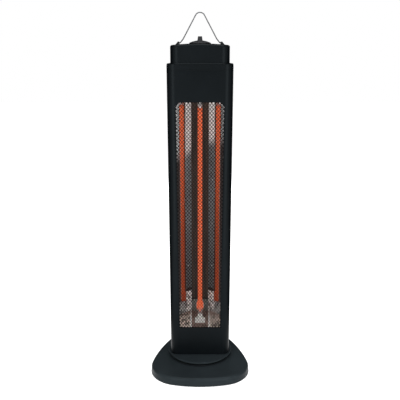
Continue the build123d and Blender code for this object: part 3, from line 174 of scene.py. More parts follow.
class Graph:
    """Node tree of one material or world."""

    def __init__(self, name: str, family: Any = None) -> None:
        """Start a material or world with an empty tree.

        Args:
            name: Its name.
            family: Blender's collection that it goes into, materials if not given.
        """
        self.owner = (bpy.data.materials if family is None else family).new(name)
        self.owner.use_nodes = True
        self.tree = self.owner.node_tree
        self.tree.nodes.clear()

    @cached_property
    def place(self) -> Signal:
        """Object coordinates."""
        return self.add("ShaderNodeTexCoord", {}, {}, "Object")

    def node(self, kind: str, settings: Mapping[str, Any], values: Mapping[Any, Any]) -> Any:
        """Add a node, its settings first and then its inputs.

        Args:
            kind: The node's type.
            settings: The node's attributes.
            values: A number, colour or signal for each input's name or index.

        Returns:
            The node.
        """
        node = self.tree.nodes.new(kind)
        for key, value in settings.items():
            setattr(node, key, value)
        for key, value in values.items():
            socket = node.inputs[key]
            if isinstance(value, Signal):
                self.tree.links.new(value.socket, socket)
            elif isinstance(value, tuple) and socket.type == "RGBA":
                socket.default_value = (*value, 1.0)
            else:
                socket.default_value = value
        return node

    def add(
        self,
        kind: str,
        settings: Mapping[str, Any],
        values: Mapping[Any, Any],
        output: Union[int, str] = 0,
    ) -> Signal:
        """Add a node and give one of its outputs as a signal."""
        return Signal(self, self.node(kind, settings, values).outputs[output])

    def axis(self, index: int) -> Signal:
        """One object coordinate, 0 to 2 for x to z."""
        return self.add("ShaderNodeSeparateXYZ", {}, {0: self.place}, index)

    def noise(self, scale: float, detail: float = 2.0, stretch: Place = (1, 1, 1)) -> Signal:
        """Cloudy noise from 0 to 1 on object coordinates.

        Args:
            scale: Cells per metre.
            detail: Octaves.
            stretch: Factor on the scale along each axis.

        Returns:
            The noise.
        """
        vector = self.add("ShaderNodeMapping", {}, {"Vector": self.place, "Scale": stretch})
        values = {"Vector": vector, "Scale": scale, "Detail": detail, "Roughness": 0.55}
        return self.add("ShaderNodeTexNoise", {}, values)

    def cells(self, scale: float) -> Signal:
        """Random value of each cell of a cellular pattern.

        Args:
            scale: Cells per metre.

        Returns:
            The value, from 0 to 1.
        """
        values = {"Vector": self.place, "Scale": scale}
        colour = self.add("ShaderNodeTexVoronoi", {}, values, "Color")
        return self.add("ShaderNodeSeparateColor", {}, {0: colour}, 0)

    def seen(self) -> Signal:
        """Tell the rays that show what they hit from those that only carry light.

        Returns:
            1 for rays that reach the camera straight, by gloss or through glass.
        """
        rays = (f"Is {kind} Ray" for kind in ("Camera", "Glossy", "Transmission"))
        camera, gloss, glass = (self.add("ShaderNodeLightPath", {}, {}, ray) for ray in rays)
        return camera.largest(gloss).largest(glass)

    def blend(self, factor: Operand, first: Any, second: Any) -> Signal:
        """Mix two colours."""
        settings = {"data_type": "RGBA"}
        return self.add("ShaderNodeMix", settings, {0: factor, 6: first, 7: second}, 2)

    def tones(self, factor: Operand, colour: Colour, first: float, second: float = 1.0) -> Signal:
        """Mix two tones of a colour, each given by its gain."""
        return self.blend(factor, shade(colour, first), shade(colour, second))

    def bump(self, height: Signal, depth: float) -> Signal:
        """Normal from a height from 0 to 1, whose full size is a depth in metres."""
        values = {"Height": height, "Distance": depth, "Strength": 1.0}
        return self.add("ShaderNodeBump", {}, values, "Normal")

    def surface(self, values: Inputs) -> bpy.types.Material:
        """Close a material's tree with the shader.

        Args:
            values: Inputs of the Principled shader, with _ for spaces.

        Returns:
            The finished material.
        """
        named = {key.replace("_", " "): value for key, value in values.items()}
        shader = self.add("ShaderNodeBsdfPrincipled", {}, named)
        self.node("ShaderNodeOutputMaterial", {}, {"Surface": shader})
        return self.owner


def shade(colour: Colour, gain: float) -> Colour:
    """A colour times a gain, no channel above 1."""
    red, green, blue = (min(1.0, channel * gain) for channel in colour)
    return red, green, blue


# Finishes
@dataclass(frozen=True)
class Finish:
    """What every finish has: a colour, a roughness and a look made from nodes."""

    colour: Colour
    roughness: float

    def build(self, name: str) -> bpy.types.Material:
        """Make the material of this name."""
        graph = Graph(name)
        return graph.surface(self.look(graph))

    def look(self, graph: Graph) -> Inputs:
        """Add the nodes of the finish.

        Args:
            graph: The material's tree.

        Returns:
            Inputs of the shader.
        """
        raise NotImplementedError


@dataclass(frozen=True)
class Satin(Finish):
    """Dark satin enamel or moulding with a fine even grain, with painted shade below a skirt's top.
    """

    grain: float = 1400.0
    grain_depth: float = 0.00002
    index: float = 1.3
    mottle: float = 0.25
    gloss_tint: Colour = WHITE
    # Below the skirt's top the colour is darkened: painted shade where the skirt lies under its
    # rim.
    skirt_z: float = -1.0
    skirt_edge: float = 0.0002
    skirt_shade_gain: float = 0.15
    gloss_change: float = 0.12

    def look(self, graph: Graph) -> Inputs:
        """Add slight mottling, a slow roughness change, a fine grain and painted shade below the
        skirt's top.

        Args:
            graph: The material's tree.

        Returns:
            Inputs of the shader.
        """
        slow = graph.noise(9.0, 3.0)
        dark = shade(self.colour, 1 - self.mottle)
        skin = graph.blend(slow.step(0.3, 0.7), dark, shade(self.colour, 1 + self.mottle))
        # Painted shade below the skirt's top.
        skirt = graph.axis(2).below(self.skirt_z, self.skirt_edge)
        return dict(
            Base_Color=graph.blend(skirt, skin, shade(dark, self.skirt_shade_gain)),
            Roughness=self.roughness + slow.swing(self.gloss_change),
            Normal=graph.bump(graph.noise(self.grain, 1.0), self.grain_depth),
            IOR=self.index,
            Specular_Tint=self.gloss_tint,
        )


@dataclass(frozen=True)
class Wire(Finish):
    """Drawn or plated wire and small metal parts with fine lines along Z."""

    line_scale: float = 2500.0
    line_depth: float = 0.00001

    def look(self, graph: Graph) -> Inputs:
        """Add drawing lines and a faint change of tone to bare metal.

        Args:
            graph: The material's tree.

        Returns:
            Inputs of the shader.
        """
        lines = graph.noise(self.line_scale, 1.0, (1, 1, 0.05))
        return dict(
            Base_Color=graph.tones(graph.noise(60.0, 3.0), self.colour, 0.75, 1.15),
            Metallic=1.0,
            Roughness=self.roughness + lines.swing(0.15),
            Normal=graph.bump(lines, self.line_depth),
        )


@dataclass(frozen=True)
class Spangle(Finish):
    """Zinc plated sheet with its crystal pattern."""

    crystals: float = 90.0

    def look(self, graph: Graph) -> Inputs:
        """Give each crystal its own tone and gloss.

        Args:
            graph: The material's tree.

        Returns:
            Inputs of the shader.
        """
        crystal = graph.cells(self.crystals)
        return dict(
            Base_Color=graph.tones(crystal, self.colour, 0.8, 1.2),
            Metallic=1.0,
            Roughness=self.roughness + crystal * 0.12,
        )


@dataclass(frozen=True)
class Rough(Finish):
    """Dull rubber, cast iron, nylon or ceramic with a grain."""

    grain: float = 600.0
    grain_depth: float = 0.00008
    speckle: float = 0.2

    def look(self, graph: Graph) -> Inputs:
        """Add a grain on two scales and slight speckles.

        Args:
            graph: The material's tree.

        Returns:
            Inputs of the shader.
        """
        coarse = graph.noise(self.grain / 4, 4.0)
        fine = graph.noise(self.grain, 2.0)
        return dict(
            Base_Color=graph.tones(coarse.step(0.35, 0.6), self.colour, 1 - self.speckle),
            Roughness=self.roughness + fine.swing(0.1),
            Normal=graph.bump(fine * 0.6 + coarse * 0.4, self.grain_depth),
        )


@dataclass(frozen=True)
class Braid(Finish):
    """Woven sleeving with two crossing sets of strands."""

    pitch: float = 0.0012
    strand_depth: float = 0.00012

    def look(self, graph: Graph) -> Inputs:
        """Cross two waves, whose product is the weave's height and tone.

        Args:
            graph: The material's tree.

        Returns:
            Inputs of the shader.
        """
        turns = math.tau / self.pitch
        across = (graph.axis(0) + graph.axis(1)) * turns
        along = graph.axis(2) * turns
        weave = ((across + along).wave() * (across - along).wave()) * 0.5 + 0.5
        return dict(
            Base_Color=graph.tones(weave, self.colour, 0.55, 1.2),
            Roughness=self.roughness,
            Normal=graph.bump(weave, self.strand_depth),
        )


@dataclass(frozen=True)
class WingMetal(Finish):
    """Polished wings whose colours paint their reflections and shade: bright above, darker below,
    pale at the foot.
    """

    # The darker mirror colour, the near black and the pale tone paint shade, a shadow line and
    # reflections of the pale sill and saddle; the white shine paints bright light reflected on the
    # inner band above the fade.
    shaded_mirror: Colour
    tint: Colour
    painted_dark: Colour
    pale_tone: Colour
    shine: Colour = (0.92, 0.93, 0.92)
    bright_z: float = 0.562
    fade_z: float = 0.530
    shadow_line_z: float = 0.1905
    pale_foot_z: float = 0.182
    low_z: float = 0.157
    inner_x: float = 0.0345
    outer_x: float = 0.0470
    band_edge: float = 0.0012
    lean: float = 0.4

    def look(self, graph: Graph) -> Inputs:
        """Add three upright bands, each of which changes with height.

        The middle band mirrors the element, and its colour darkens lower down as painted shade. The
        inner band, beside the middle panel, carries painted reflections: white above the fade,
        stained grey-blue that darkens towards the bottom below it, and pale at the foot where the
        sill is painted as reflected, under a painted shadow line. The outer band is a mirror above
        the fade, darker on the right as painted shade, and painted near black below it as painted
        shade. The fade lies lower on the left than on the right.

        Args:
            graph: The material's tree.

        Returns:
            Inputs of the shader.
        """
        height, side = graph.axis(2), graph.axis(0)
        rolling = graph.noise(700.0, 2.0, (1, 1, 0.02))
        cloud = graph.noise(26.0, 4.0, (1, 1, 0.35))
        speck = graph.noise(190.0, 4.0, (1, 1, 0.6))
        fleck = speck.step(0.42, 0.52)
        aside = abs(side) + rolling.swing(0.0016)
        level = height - side * self.lean + cloud.swing(0.03)
        grainy = height + speck.swing(0.006)
        # Above the fade the bands carry painted reflections of bright light; the lean slants the
        # fade's edge.
        top = level.step(self.fade_z, self.bright_z)
        inner = aside.below(self.inner_x, self.band_edge)
        outer = aside.above(self.outer_x, self.band_edge)
        foot = grainy.below(self.pale_foot_z, 0.0015)
        floor = grainy.below(self.low_z, 0.003)
        # Painted shadow: a dark line over the pale foot.
        line = grainy.below(self.shadow_line_z, 0.001) * (1.0 - foot)
        # Painted shade: the mirror band darkens lower down.
        mirror = graph.blend(level.step(0.25, 0.60), self.shaded_mirror, self.colour)
        # Painted reflection and shade: the inner band's grey-blue darkens towards the bottom, under
        # its stains.
        dimmed_tint = graph.tones(height.step(0.2, 0.45), self.tint, 0.15)
        stain = cloud.step(0.3, 0.7) * 0.6 + speck.step(0.4, 0.7) * 0.4
        stained = graph.blend(line, graph.blend(stain, shade(self.tint, 0.4), dimmed_tint), self.painted_dark)
        # Painted reflections of the pale sill and saddle at the foot, flecked.
        pale = graph.tones(fleck, self.pale_tone, 0.22)
        foot_reflection = graph.tones(fleck, self.pale_tone, 0.1, 0.5)
        # Inner band: painted white reflection above the fade, painted shade below it, painted sill
        # reflection at the foot.
        strip = graph.blend(top, graph.blend(foot, stained, pale), self.shine)
        # Outer band: a mirror above the fade, darker on the right as painted shade, painted near
        # black below it.
        bright = graph.tones(side.above(0.0, 0.001), self.colour, 1.0, 0.6)
        outside = graph.blend(outer, mirror, graph.blend(top, self.painted_dark, bright))
        dull = inner.largest(outer * (1.0 - top)).largest(floor)
        return dict(
            Base_Color=graph.blend(
                floor, graph.blend(inner, outside, strip), graph.blend(inner, foot_reflection, pale)
            ),
            Metallic=1.0 - dull * 0.9,
            Roughness=self.roughness + dull * 0.3 + rolling.swing(0.06),
            Normal=graph.bump(rolling, 0.000006),
        )


@dataclass(frozen=True)
class TintedSheet(Finish):
    """Sheet stained brown and blue-black by heat, lighter towards the top, and grey at its foot
    under a black line of painted shadow.
    """

    stain: Colour
    pale_tone: Colour
    foot: Colour
    foot_z: float = 0.157
    # The black line just above the grey foot is painted shadow.
    line_z: float = 0.16175
    line: Colour = (0.002, 0.002, 0.002)
    index: float = 1.34

    def look(self, graph: Graph) -> Inputs:
        """Add upright stains over a dark ground, with a few pale ashy streaks.

        Below the foot's height the sheet is grey, under a black line of painted shadow.

        Args:
            graph: The material's tree.

        Returns:
            Inputs of the shader.
        """
        height = graph.axis(2)
        runs = graph.noise(180.0, 4.0, (1, 1, 0.06))
        patch = graph.noise(22.0, 3.0, (1, 1, 0.5))
        speck = graph.noise(300.0, 3.0)
        streak = runs.step(0.60, 0.74) * patch.step(0.5, 0.7)
        warm = graph.tones(height.step(0.45, 0.66), self.stain, 1.0, 1.3)
        ground = graph.blend(runs.step(0.3, 0.7), self.colour, warm)
        grey = graph.tones(speck.step(0.35, 0.65), self.foot, 0.55)
        low = height.below(self.foot_z, 0.0008)
        # Painted shadow: a black line just above the grey foot.
        line = height.below(self.line_z, 0.00075) * (1.0 - low)
        upper = graph.blend(line, graph.blend(streak, ground, self.pale_tone), self.line)
        return dict(
            Base_Color=graph.blend(low, upper, grey),
            Metallic=0.3 - low * 0.25,
            Roughness=self.roughness + patch.swing(0.3),
            IOR=self.index,
            Normal=graph.bump(runs, 0.00002),
        )


@dataclass(frozen=True)
class SillMetal(Finish):
    """Pale sill under the element, stained tan, with bright edges beside its middle."""

    middle: Colour
    middle_x: float
    rim_x: float
    rim: Colour = (0.95, 0.93, 0.90)
    edge: float = 0.001

    def look(self, graph: Graph) -> Inputs:
        """Add a browner middle strip between two pale sides, all flecked with soot.

        Args:
            graph: The material's tree.

        Returns:
            Inputs of the shader.
        """
        aside = abs(graph.axis(0))
        stain = graph.noise(160.0, 4.0)
        fleck = graph.noise(215.0, 4.0, (1, 0.45, 0.45)).step(0.44, 0.5)
        centre = (aside + stain.swing(0.002)).below(self.middle_x, self.edge)
        side = graph.tones(stain.step(0.35, 0.7), self.colour, 1.0, 0.66)
        inner = graph.tones(stain.step(0.4, 0.7), self.middle, 1.0, 0.6)
        flecked = graph.blend(fleck, shade(self.colour, 0.2), side)
        flecked = graph.blend(
            aside.below(self.rim_x, self.edge) * (1.0 - centre), flecked, self.rim
        )
        inner = graph.blend(fleck, shade(self.middle, 0.4), inner)
        return dict(
            Base_Color=graph.blend(centre, flecked, inner),
            Metallic=0.15,
            Roughness=self.roughness + stain.swing(0.2),
            Normal=graph.bump(stain, 0.00006),
        )


@dataclass(frozen=True)
class Glowing(Finish):
    """What every finish near the element has: a glow and its strength."""

    glow: Colour
    strength: float

    def glow_inputs(self, graph: Graph, level: Signal) -> Inputs:
        """Inputs of the shader for a glow of a level from 0 to 1."""
        colour = graph.blend(level, BLACK, self.glow)
        return dict(Emission_Color=colour, Emission_Strength=self.strength)


@dataclass(frozen=True)
class ClipWithPaintedGlow(Glowing):
    """Spring steel beside the element, pale at its points, with a painted glow and orange tint near
    the tube that stand in for the element's light reflected on it.
    """

    glow_x: float
    glow_tint: Colour = (0.2, 0.06, 0.03)

    def look(self, graph: Graph) -> Inputs:
        """Fade the painted glow and orange tint from the tube outwards, over fine drawing lines.

        Args:
            graph: The material's tree.

        Returns:
            Inputs of the shader.
        """
        lines = graph.noise(1500.0, 2.0, (1, 1, 0.1))
        # Painted glow: the element's light reflected near the tube.
        glow_mask = (abs(graph.axis(0)) + lines.swing(0.001)).below(self.glow_x, 0.001)
        return dict(
            Base_Color=graph.blend(glow_mask, graph.tones(lines, self.colour, 0.8), self.glow_tint),
            Metallic=0.6,
            Roughness=self.roughness + lines.swing(0.15),
            Normal=graph.bump(lines, 0.00001),
            **self.glow_inputs(graph, glow_mask * (0.7 + 0.5 * lines)),
        )


@dataclass(frozen=True)
class ClearQuartz(Glowing):
    """Clear fused quartz with a painted glow and warm tint between the heated ends, standing in for
    the element's light scattered in the glass.
    """

    low_z: float
    high_z: float = TAPE_TOP_Z
    glow_tint: Colour = (0.10, 0.03, 0.02)
    fade: float = 0.006
    haze: float = 0.14
    index: float = 1.3

    def look(self, graph: Graph) -> Inputs:
        """Add faint upright lines and a painted warm glow along the tape to a clear tube.

        Args:
            graph: The material's tree.

        Returns:
            Inputs of the shader.
        """
        height = graph.axis(2)
        lines = graph.noise(900.0, 2.0, (1, 1, 0.01))
        glow_mask = height.above(self.low_z, self.fade) * height.below(self.high_z, self.fade)
        return dict(
            Base_Color=graph.blend(glow_mask, self.colour, self.glow_tint),
            Roughness=self.roughness,
            Alpha=self.haze + lines * 0.06,
            Normal=graph.bump(lines, 0.00001),
            IOR=self.index,
            **self.glow_inputs(graph, glow_mask * (0.8 + 0.4 * lines)),
        )


@dataclass(frozen=True)
class GlowingTape(Glowing):
    """Carbon tape at working heat, cooler towards its two ends."""

    low_z: float = TAPE_FOOT_Z
    high_z: float = TAPE_TOP_Z
    outward: float = 0.004
    inward: float = 0.012

    def look(self, graph: Graph) -> Inputs:
        """Add a glow with a slow flicker of tone and cool ends.

        Args:
            graph: The material's tree.

        Returns:
            Inputs of the shader.
        """
        height = graph.axis(2)
        weave = graph.noise(900.0, 2.0)
        slow = graph.noise(30.0, 2.0)
        glow_mask = height.step(self.low_z - self.outward, self.low_z + self.inward)
        glow_mask = glow_mask * height.step(self.high_z + self.outward, self.high_z - self.inward)
        level = glow_mask * (0.8 + 0.25 * weave + slow.swing(0.3))
        return dict(Base_Color=self.colour, Roughness=self.roughness, **self.glow_inputs(graph, level))


HOUSING = Satin(
    colour=(0.0031, 0.0041, 0.0050),
    roughness=0.32,
    grain=1500.0,
    grain_depth=0.000012,
    index=1.16,
    mottle=0.2,
    gloss_tint=(0.80, 0.95, 1.0),
)
MOULDING = replace(HOUSING, roughness=0.34, grain=1300.0, grain_depth=0.000018, index=1.17)
BASE_MOULDING = replace(
    MOULDING, colour=(0.0180, 0.0232, 0.0262), roughness=0.38, index=1.16, mottle=0.12
)
BLACK_PLASTIC = Satin((0.004, 0.0045, 0.005), 0.5, grain=1100.0, grain_depth=0.00003, index=1.2)

FINISHES: dict[str, Finish] = {
    "graphite_housing": HOUSING,
    "graphite_moulding": MOULDING,
    "base_moulding": BASE_MOULDING,
    # The disc's skirt below 28.9 mm gets painted shade, for the shadow under the disc's rim.
    "disc_moulding": replace(BASE_MOULDING, skirt_z=0.0289),
    "black_plastic": BLACK_PLASTIC,
    "knob_moulding": replace(BLACK_PLASTIC, colour=(0.026, 0.027, 0.029), index=1.25),
    "grey_lug": Satin((0.02, 0.023, 0.025), 0.45, grain=1100.0, grain_depth=0.00003),
    "bail_wire": Wire((0.13, 0.135, 0.14), 0.45),
    "mesh_wire": Satin(
        (0.008, 0.006, 0.005), 0.5, grain=2600.0, grain_depth=0.00001, index=1.15
    ),
    # The wings' colours paint reflections and shade: a darker lower mirror, near black and a shadow
    # line, and pale reflections of the sill and saddle.
    "polished_reflector": WingMetal(
        colour=(0.78, 0.78, 0.78),
        roughness=0.07,
        shaded_mirror=(0.42, 0.38, 0.36),
        tint=(0.32, 0.38, 0.40),
        painted_dark=(0.012, 0.010, 0.010),
        pale_tone=(0.97, 0.99, 0.97),
    ),
    "sill_plate": SillMetal(
        (0.88, 0.72, 0.62), 0.5, middle=(0.40, 0.26, 0.22), middle_x=0.0205, rim_x=0.024
    ),
    "tinted_panel": TintedSheet(
        colour=(0.014, 0.010, 0.008),
        roughness=0.4,
        stain=(0.052, 0.030, 0.020),
        pale_tone=(0.22, 0.21, 0.19),
        foot=(0.20, 0.235, 0.215),
    ),
    "dark_liner": Satin((0.02, 0.018, 0.017), 0.45, grain=900.0),
    # The clip's glow is painted, for the element's light reflected on it.
    "spring_clip": ClipWithPaintedGlow(
        (0.72, 0.60, 0.54), 0.4, glow=(1.0, 0.15, 0.05), strength=0.7, glow_x=0.0082
    ),
    # The quartz's glow is painted, for the element's light in the glass.
    "quartz": ClearQuartz(
        (0.85, 0.82, 0.80), 0.06, glow=(1.0, 0.14, 0.04), strength=0.85, low_z=0.148
    ),
    "glowing_ribbon": GlowingTape((0.02, 0.02, 0.02), 0.8, glow=(1.0, 0.17, 0.06), strength=0.92),
    "ceramic": Rough((0.80, 0.78, 0.74), 0.6, grain=900.0, grain_depth=0.00003, speckle=0.12),
    "zinc_steel": Spangle((0.50, 0.51, 0.53), 0.36),
    "screw_steel": Wire((0.09, 0.09, 0.095), 0.4),
    "cast_weight": Rough((0.05, 0.05, 0.052), 0.75, grain=500.0, grain_depth=0.0002, speckle=0.3),
    "rubber_pad": Rough((0.015, 0.015, 0.016), 0.85, grain=900.0, grain_depth=0.00006, speckle=0.3),
    "white_bearing": Rough(
        (0.62, 0.62, 0.60), 0.45, grain=700.0, grain_depth=0.00002, speckle=0.08
    ),
    "wire_sleeve": Braid((0.42, 0.40, 0.36), 0.8),
}

OWN_FINISH: dict[str, str] = {
    "lower_end_reflector": "sill_plate",
    "base_shell": "base_moulding",
    "turntable_disc": "disc_moulding",
    "control_knob_body": "knob_moulding",
}


# Mesh tools
def linked(name: str, data: Any) -> bpy.types.Object:
    """Make an object of some data and put it into the scene.

    Args:
        name: The object's name.
        data: Its mesh, camera or light.

    Returns:
        The object.
    """
    thing = bpy.data.objects.new(name, data)
    bpy.context.scene.collection.objects.link(thing)
    return thing


class Skin:
    """Points and faces gathered from several surfaces before they become a mesh."""

    def __init__(self) -> None:
        """Start empty."""
        self.points: list[np.ndarray] = []
        self.faces: list[list[int]] = []
        self.count = 0

    def add(self, points: np.ndarray, *groups: np.ndarray) -> None:
        """Add points and the faces between them.

        Args:
            points: Array of n points.
            groups: Index arrays, one row a face, counted from these points.
        """
        points = points.reshape(-1, 3)
        for group in groups:
            self.faces += (group + self.count).tolist()
        self.points.append(points)
        self.count += len(points)

    def sweep(self, rings: np.ndarray, capped: bool = False) -> None:
        """Add a closed tube through rings of points.

        Args:
            rings: Array (rings, points of a ring, 3), each counter-clockwise seen
                from ahead, against the way the tube runs.
            capped: Whether both ends are closed.
        """
        index = np.arange(rings[..., 0].size).reshape(rings.shape[:2])
        groups = [quad_faces(index, True)]
        if capped:
            groups += [index[:1, ::-1], index[-1:]]
        self.add(rings, *groups)

    def finish(self, name: str, slot: str, body: Body, nodes: Sequence[str], sharp: float) -> None:
        """Make the object, dress it and fix it to its body.

        Args:
            name: The piece's name.
            slot: Material slot of the record that it takes its finish from.
            body: Body that it rides on.
            nodes: Solids that it stands for.
            sharp: Degrees past which an edge stays sharp.
        """
        mesh = bpy.data.meshes.new(name)
        mesh.from_pydata(np.concatenate(self.points), [], self.faces)
        joined = bmesh.new()
        joined.from_mesh(mesh)
        bmesh.ops.remove_doubles(joined, verts=joined.verts, dist=1e-6)
        joined.to_mesh(mesh)
        joined.free()
        mesh.polygons.foreach_set("use_smooth", np.ones(len(mesh.polygons), bool))
        mesh.set_sharp_from_angle(angle=math.radians(sharp))
        mesh.update()
        piece = linked(name, mesh)
        mesh.materials.append(material(OWN_FINISH.get(name, slot)))
        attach(piece, body.value)
        if nodes:
            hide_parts(*nodes)
        log.info("%s: %d faces on %s", name, len(mesh.polygons), body.value)


def quad_faces(index: np.ndarray, closed: bool) -> np.ndarray:
    """Quads between neighbours of a grid of point numbers.

    Args:
        index: Grid of point numbers.
        closed: Whether the last column joins the first.

    Returns:
        One row of four numbers for each quad.
    """
    right = np.roll(index, -1, axis=1)
    if not closed:
        index, right = index[:, :-1], right[:, :-1]
    rows = [index[:-1], right[:-1], right[1:], index[1:]]
    return np.stack([row.ravel() for row in rows], axis=1)


def circle(sides: int) -> np.ndarray:
    """Evenly spaced angles of a full turn, without its end."""
    return np.linspace(0, math.tau, sides, endpoint=False)


def tube_rings(path: np.ndarray, radii: np.ndarray, sides: int, up: Place) -> np.ndarray:
    """Circles of given radii along a path that stays near one plane.

    Args:
        path: Points of the centre line.
        radii: Radius at each point.
        sides: Points on each circle.
        up: A direction that the path never runs along.

    Returns:
        Array (points of the path, sides, 3).
    """
    along = np.gradient(path, axis=0)
    along /= np.linalg.norm(along, axis=1, keepdims=True)
    side = np.cross(along, np.array(up))
    side /= np.linalg.norm(side, axis=1, keepdims=True)
    top = np.cross(along, side)
    turn = circle(sides)[None, :, None]
    offset = np.cos(turn) * side[:, None] + np.sin(turn) * top[:, None]
    return path[:, None] + offset * radii[:, None, None]


def spun(profile: np.ndarray, sides: int) -> np.ndarray:
    """Turn a profile about Z.

    Args:
        profile: Rows of radius and height, from the axis below round to the top.
        sides: Points on each circle.

    Returns:
        Array (points of the profile, sides, 3), faces outwards.
    """
    turn = circle(sides)[None, :]
    radius, height = profile[:, :1], profile[:, 1:]
    return np.stack([radius * np.cos(turn), radius * np.sin(turn), height + 0 * turn], axis=-1)


def turned(points: np.ndarray, *axes: np.ndarray) -> np.ndarray:
    """Points with their x, y and z measured along three given directions instead."""
    return sum(points[..., k : k + 1] * axis for k, axis in enumerate(axes))


def spaced(*runs: Run) -> np.ndarray:
    """Even numbers from the start to the end of each run, as many as it says."""
    return np.concatenate([np.linspace(*run) for run in runs])


@cache
def material(slot: str) -> bpy.types.Material:
    """The material of a slot or of a node's own finish, made once."""
    return FINISHES[slot].build(slot)


def dress_nodes(frame: Mapping[str, Any]) -> None:
    """Give every solid of the frame the finish of its slot.
    """
    for row in frame["record"]["subparts"]:
        node = frame["nodes"][row["node"]]
        finish = material(OWN_FINISH.get(row["node"], row["material_slot"]))
        if not node.material_slots:
            node.data.materials.append(finish)
        for place in node.material_slots:
            place.material = finish
        log.info("%s wears %s", row["node"], finish.name)


# Window
@dataclass
class GuardMesh:
    """Fine expanded metal behind the window, cut and stretched from one sheet."""

    columns: int = 15
    rows: int = 63
    strand: float = 1.15 * MM
    thick: float = 0.5 * MM
    tilt: float = 0.25 * MM
    half_bottom: float = 51.68 * MM
    half_top: float = 56.8 * MM

    def lattice(self) -> tuple[np.ndarray, np.ndarray]:
        """Tips of the gaps on a lattice of half steps.

        Gap centres are the lattice points whose two numbers are both odd or both
        even, and strands cross at the others. Each centre has five points: its
        left, lower, right and upper tip, and itself. A tip lies one half step
        from its centre, less the strand's half width measured along that axis.
        Inside the border, the lower tips lean back and the upper ones forwards.

        Returns:
            Points (columns, rows, 5, 3) and their numbers (columns, rows, 5).
        """
        low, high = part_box("guard_mesh")
        step_z = (high.z - low.z) / (2 * self.rows)
        step_x = (self.half_bottom + self.half_top) / (2 * self.columns)
        slope = math.hypot(step_x, step_z)
        back_x = 1 - self.strand / 2 * slope / step_z / step_x
        back_z = 1 - self.strand / 2 * slope / step_x / step_z
        across = np.arange(2 * self.columns + 1)[:, None, None]
        upward = np.arange(2 * self.rows + 1)[None, :, None]
        reach_x = np.array([-back_x, 0, back_x, 0, 0])
        reach_z = np.array([0, -back_z, 0, back_z, 0])
        height = low.z + (upward + reach_z) * step_z
        share = (height - low.z) / (high.z - low.z)
        half = self.half_bottom + share * (self.half_top - self.half_bottom)
        wide = ((across + reach_x) / self.columns - 1) * half
        inside = (across > 0) & (across < 2 * self.columns)
        inside = inside & (upward > 0) & (upward < 2 * self.rows)
        gap = inside & ((across + upward) % 2 == 0)
        lean = np.where(gap, np.sign(-reach_z) * self.tilt, 0.0)
        deep = (low.y + high.y) / 2 + lean
        points = np.stack(np.broadcast_arrays(wide, deep, height), axis=-1)
        return points, np.arange(points[..., 0].size).reshape(points.shape[:3])

    def faces(self, number: np.ndarray) -> list[np.ndarray]:
        """Front faces of strands, crossings and the half gaps closed at the border.

        Args:
            number: Point numbers from lattice().

        Returns:
            Arrays of quads and triangles, counter-clockwise seen from the front.
        """
        left, low, right, top, core = (number[..., k] for k in range(5))
        cross = (np.add.outer(np.arange(len(left)), np.arange(left.shape[1])) % 2) == 1
        groups = []
        for keep, tips in (
            (cross[1:-1, 1:-1], (right[:-2, 1:-1], top[1:-1, :-2], left[2:, 1:-1], low[1:-1, 2:])),
            (cross[:-1, :-1], (left[1:, :-1], top[1:, :-1], right[:-1, 1:], low[:-1, 1:])),
            (cross[:-1, 1:], (top[:-1, :-1], right[:-1, :-1], low[1:, 1:], left[1:, 1:])),
        ):
            groups.append(np.stack([tip[keep] for tip in tips], axis=1))
        odd, even = slice(1, -1, 2), slice(2, -2, 2)
        before, after = slice(0, -2, 2), slice(2, None, 2)
        for tips in (
            (top[0, before], left[1, odd], low[0, after]),
            (low[-1, after], right[-2, odd], top[-1, before]),
            (right[before, 0], left[after, 0], low[odd, 1]),
            (left[after, -1], right[before, -1], top[odd, -2]),
            (low[0, even], right[0, even], top[0, even]),
            (top[-1, even], left[-1, even], low[-1, even]),
            (left[even, 0], right[even, 0], top[even, 0]),
            (right[even, -1], left[even, -1], low[even, -1]),
            (core[0, :1], right[0, :1], top[0, :1]),
            (left[-1, :1], core[-1, :1], top[-1, :1]),
            (core[-1, -1:], left[-1, -1:], low[-1, -1:]),
            (right[0, -1:], core[0, -1:], low[0, -1:]),
        ):
            groups.append(np.stack(tips, axis=1))
        return groups

    def build(self) -> None:
        """Front and back sheets, joined round every gap and the outer edge.

        An edge of a front face that no neighbour runs the other way along is on
        a rim, and gets a wall across the thickness.
        """
        points, number = self.lattice()
        front = self.faces(number)
        count = number.size
        edges = [np.stack([group, np.roll(group, -1, axis=1)], -1) for group in front]
        ends = np.concatenate([edge.reshape(-1, 2) for edge in edges])
        forward = ends[:, 0] * count + ends[:, 1]
        backward = ends[:, 1] * count + ends[:, 0]
        rim = ends[~np.isin(forward, backward)]
        wall = np.concatenate([rim[:, ::-1], rim + count], axis=1)
        flat = points.reshape(-1, 3)
        half = BACK * self.thick / 2
        both = np.concatenate([flat - half, flat + half])
        groups = front + [group[:, ::-1] + count for group in front] + [wall]
        used = np.unique(np.concatenate([group.ravel() for group in groups]))
        renumber = np.zeros(2 * count, int)
        renumber[used] = np.arange(len(used))
        skin = Skin()
        skin.add(both[used], *[renumber[group] for group in groups])
        skin.finish("expanded_metal_guard", "mesh_wire", Body.TOWER, ["guard_mesh"], sharp=20)


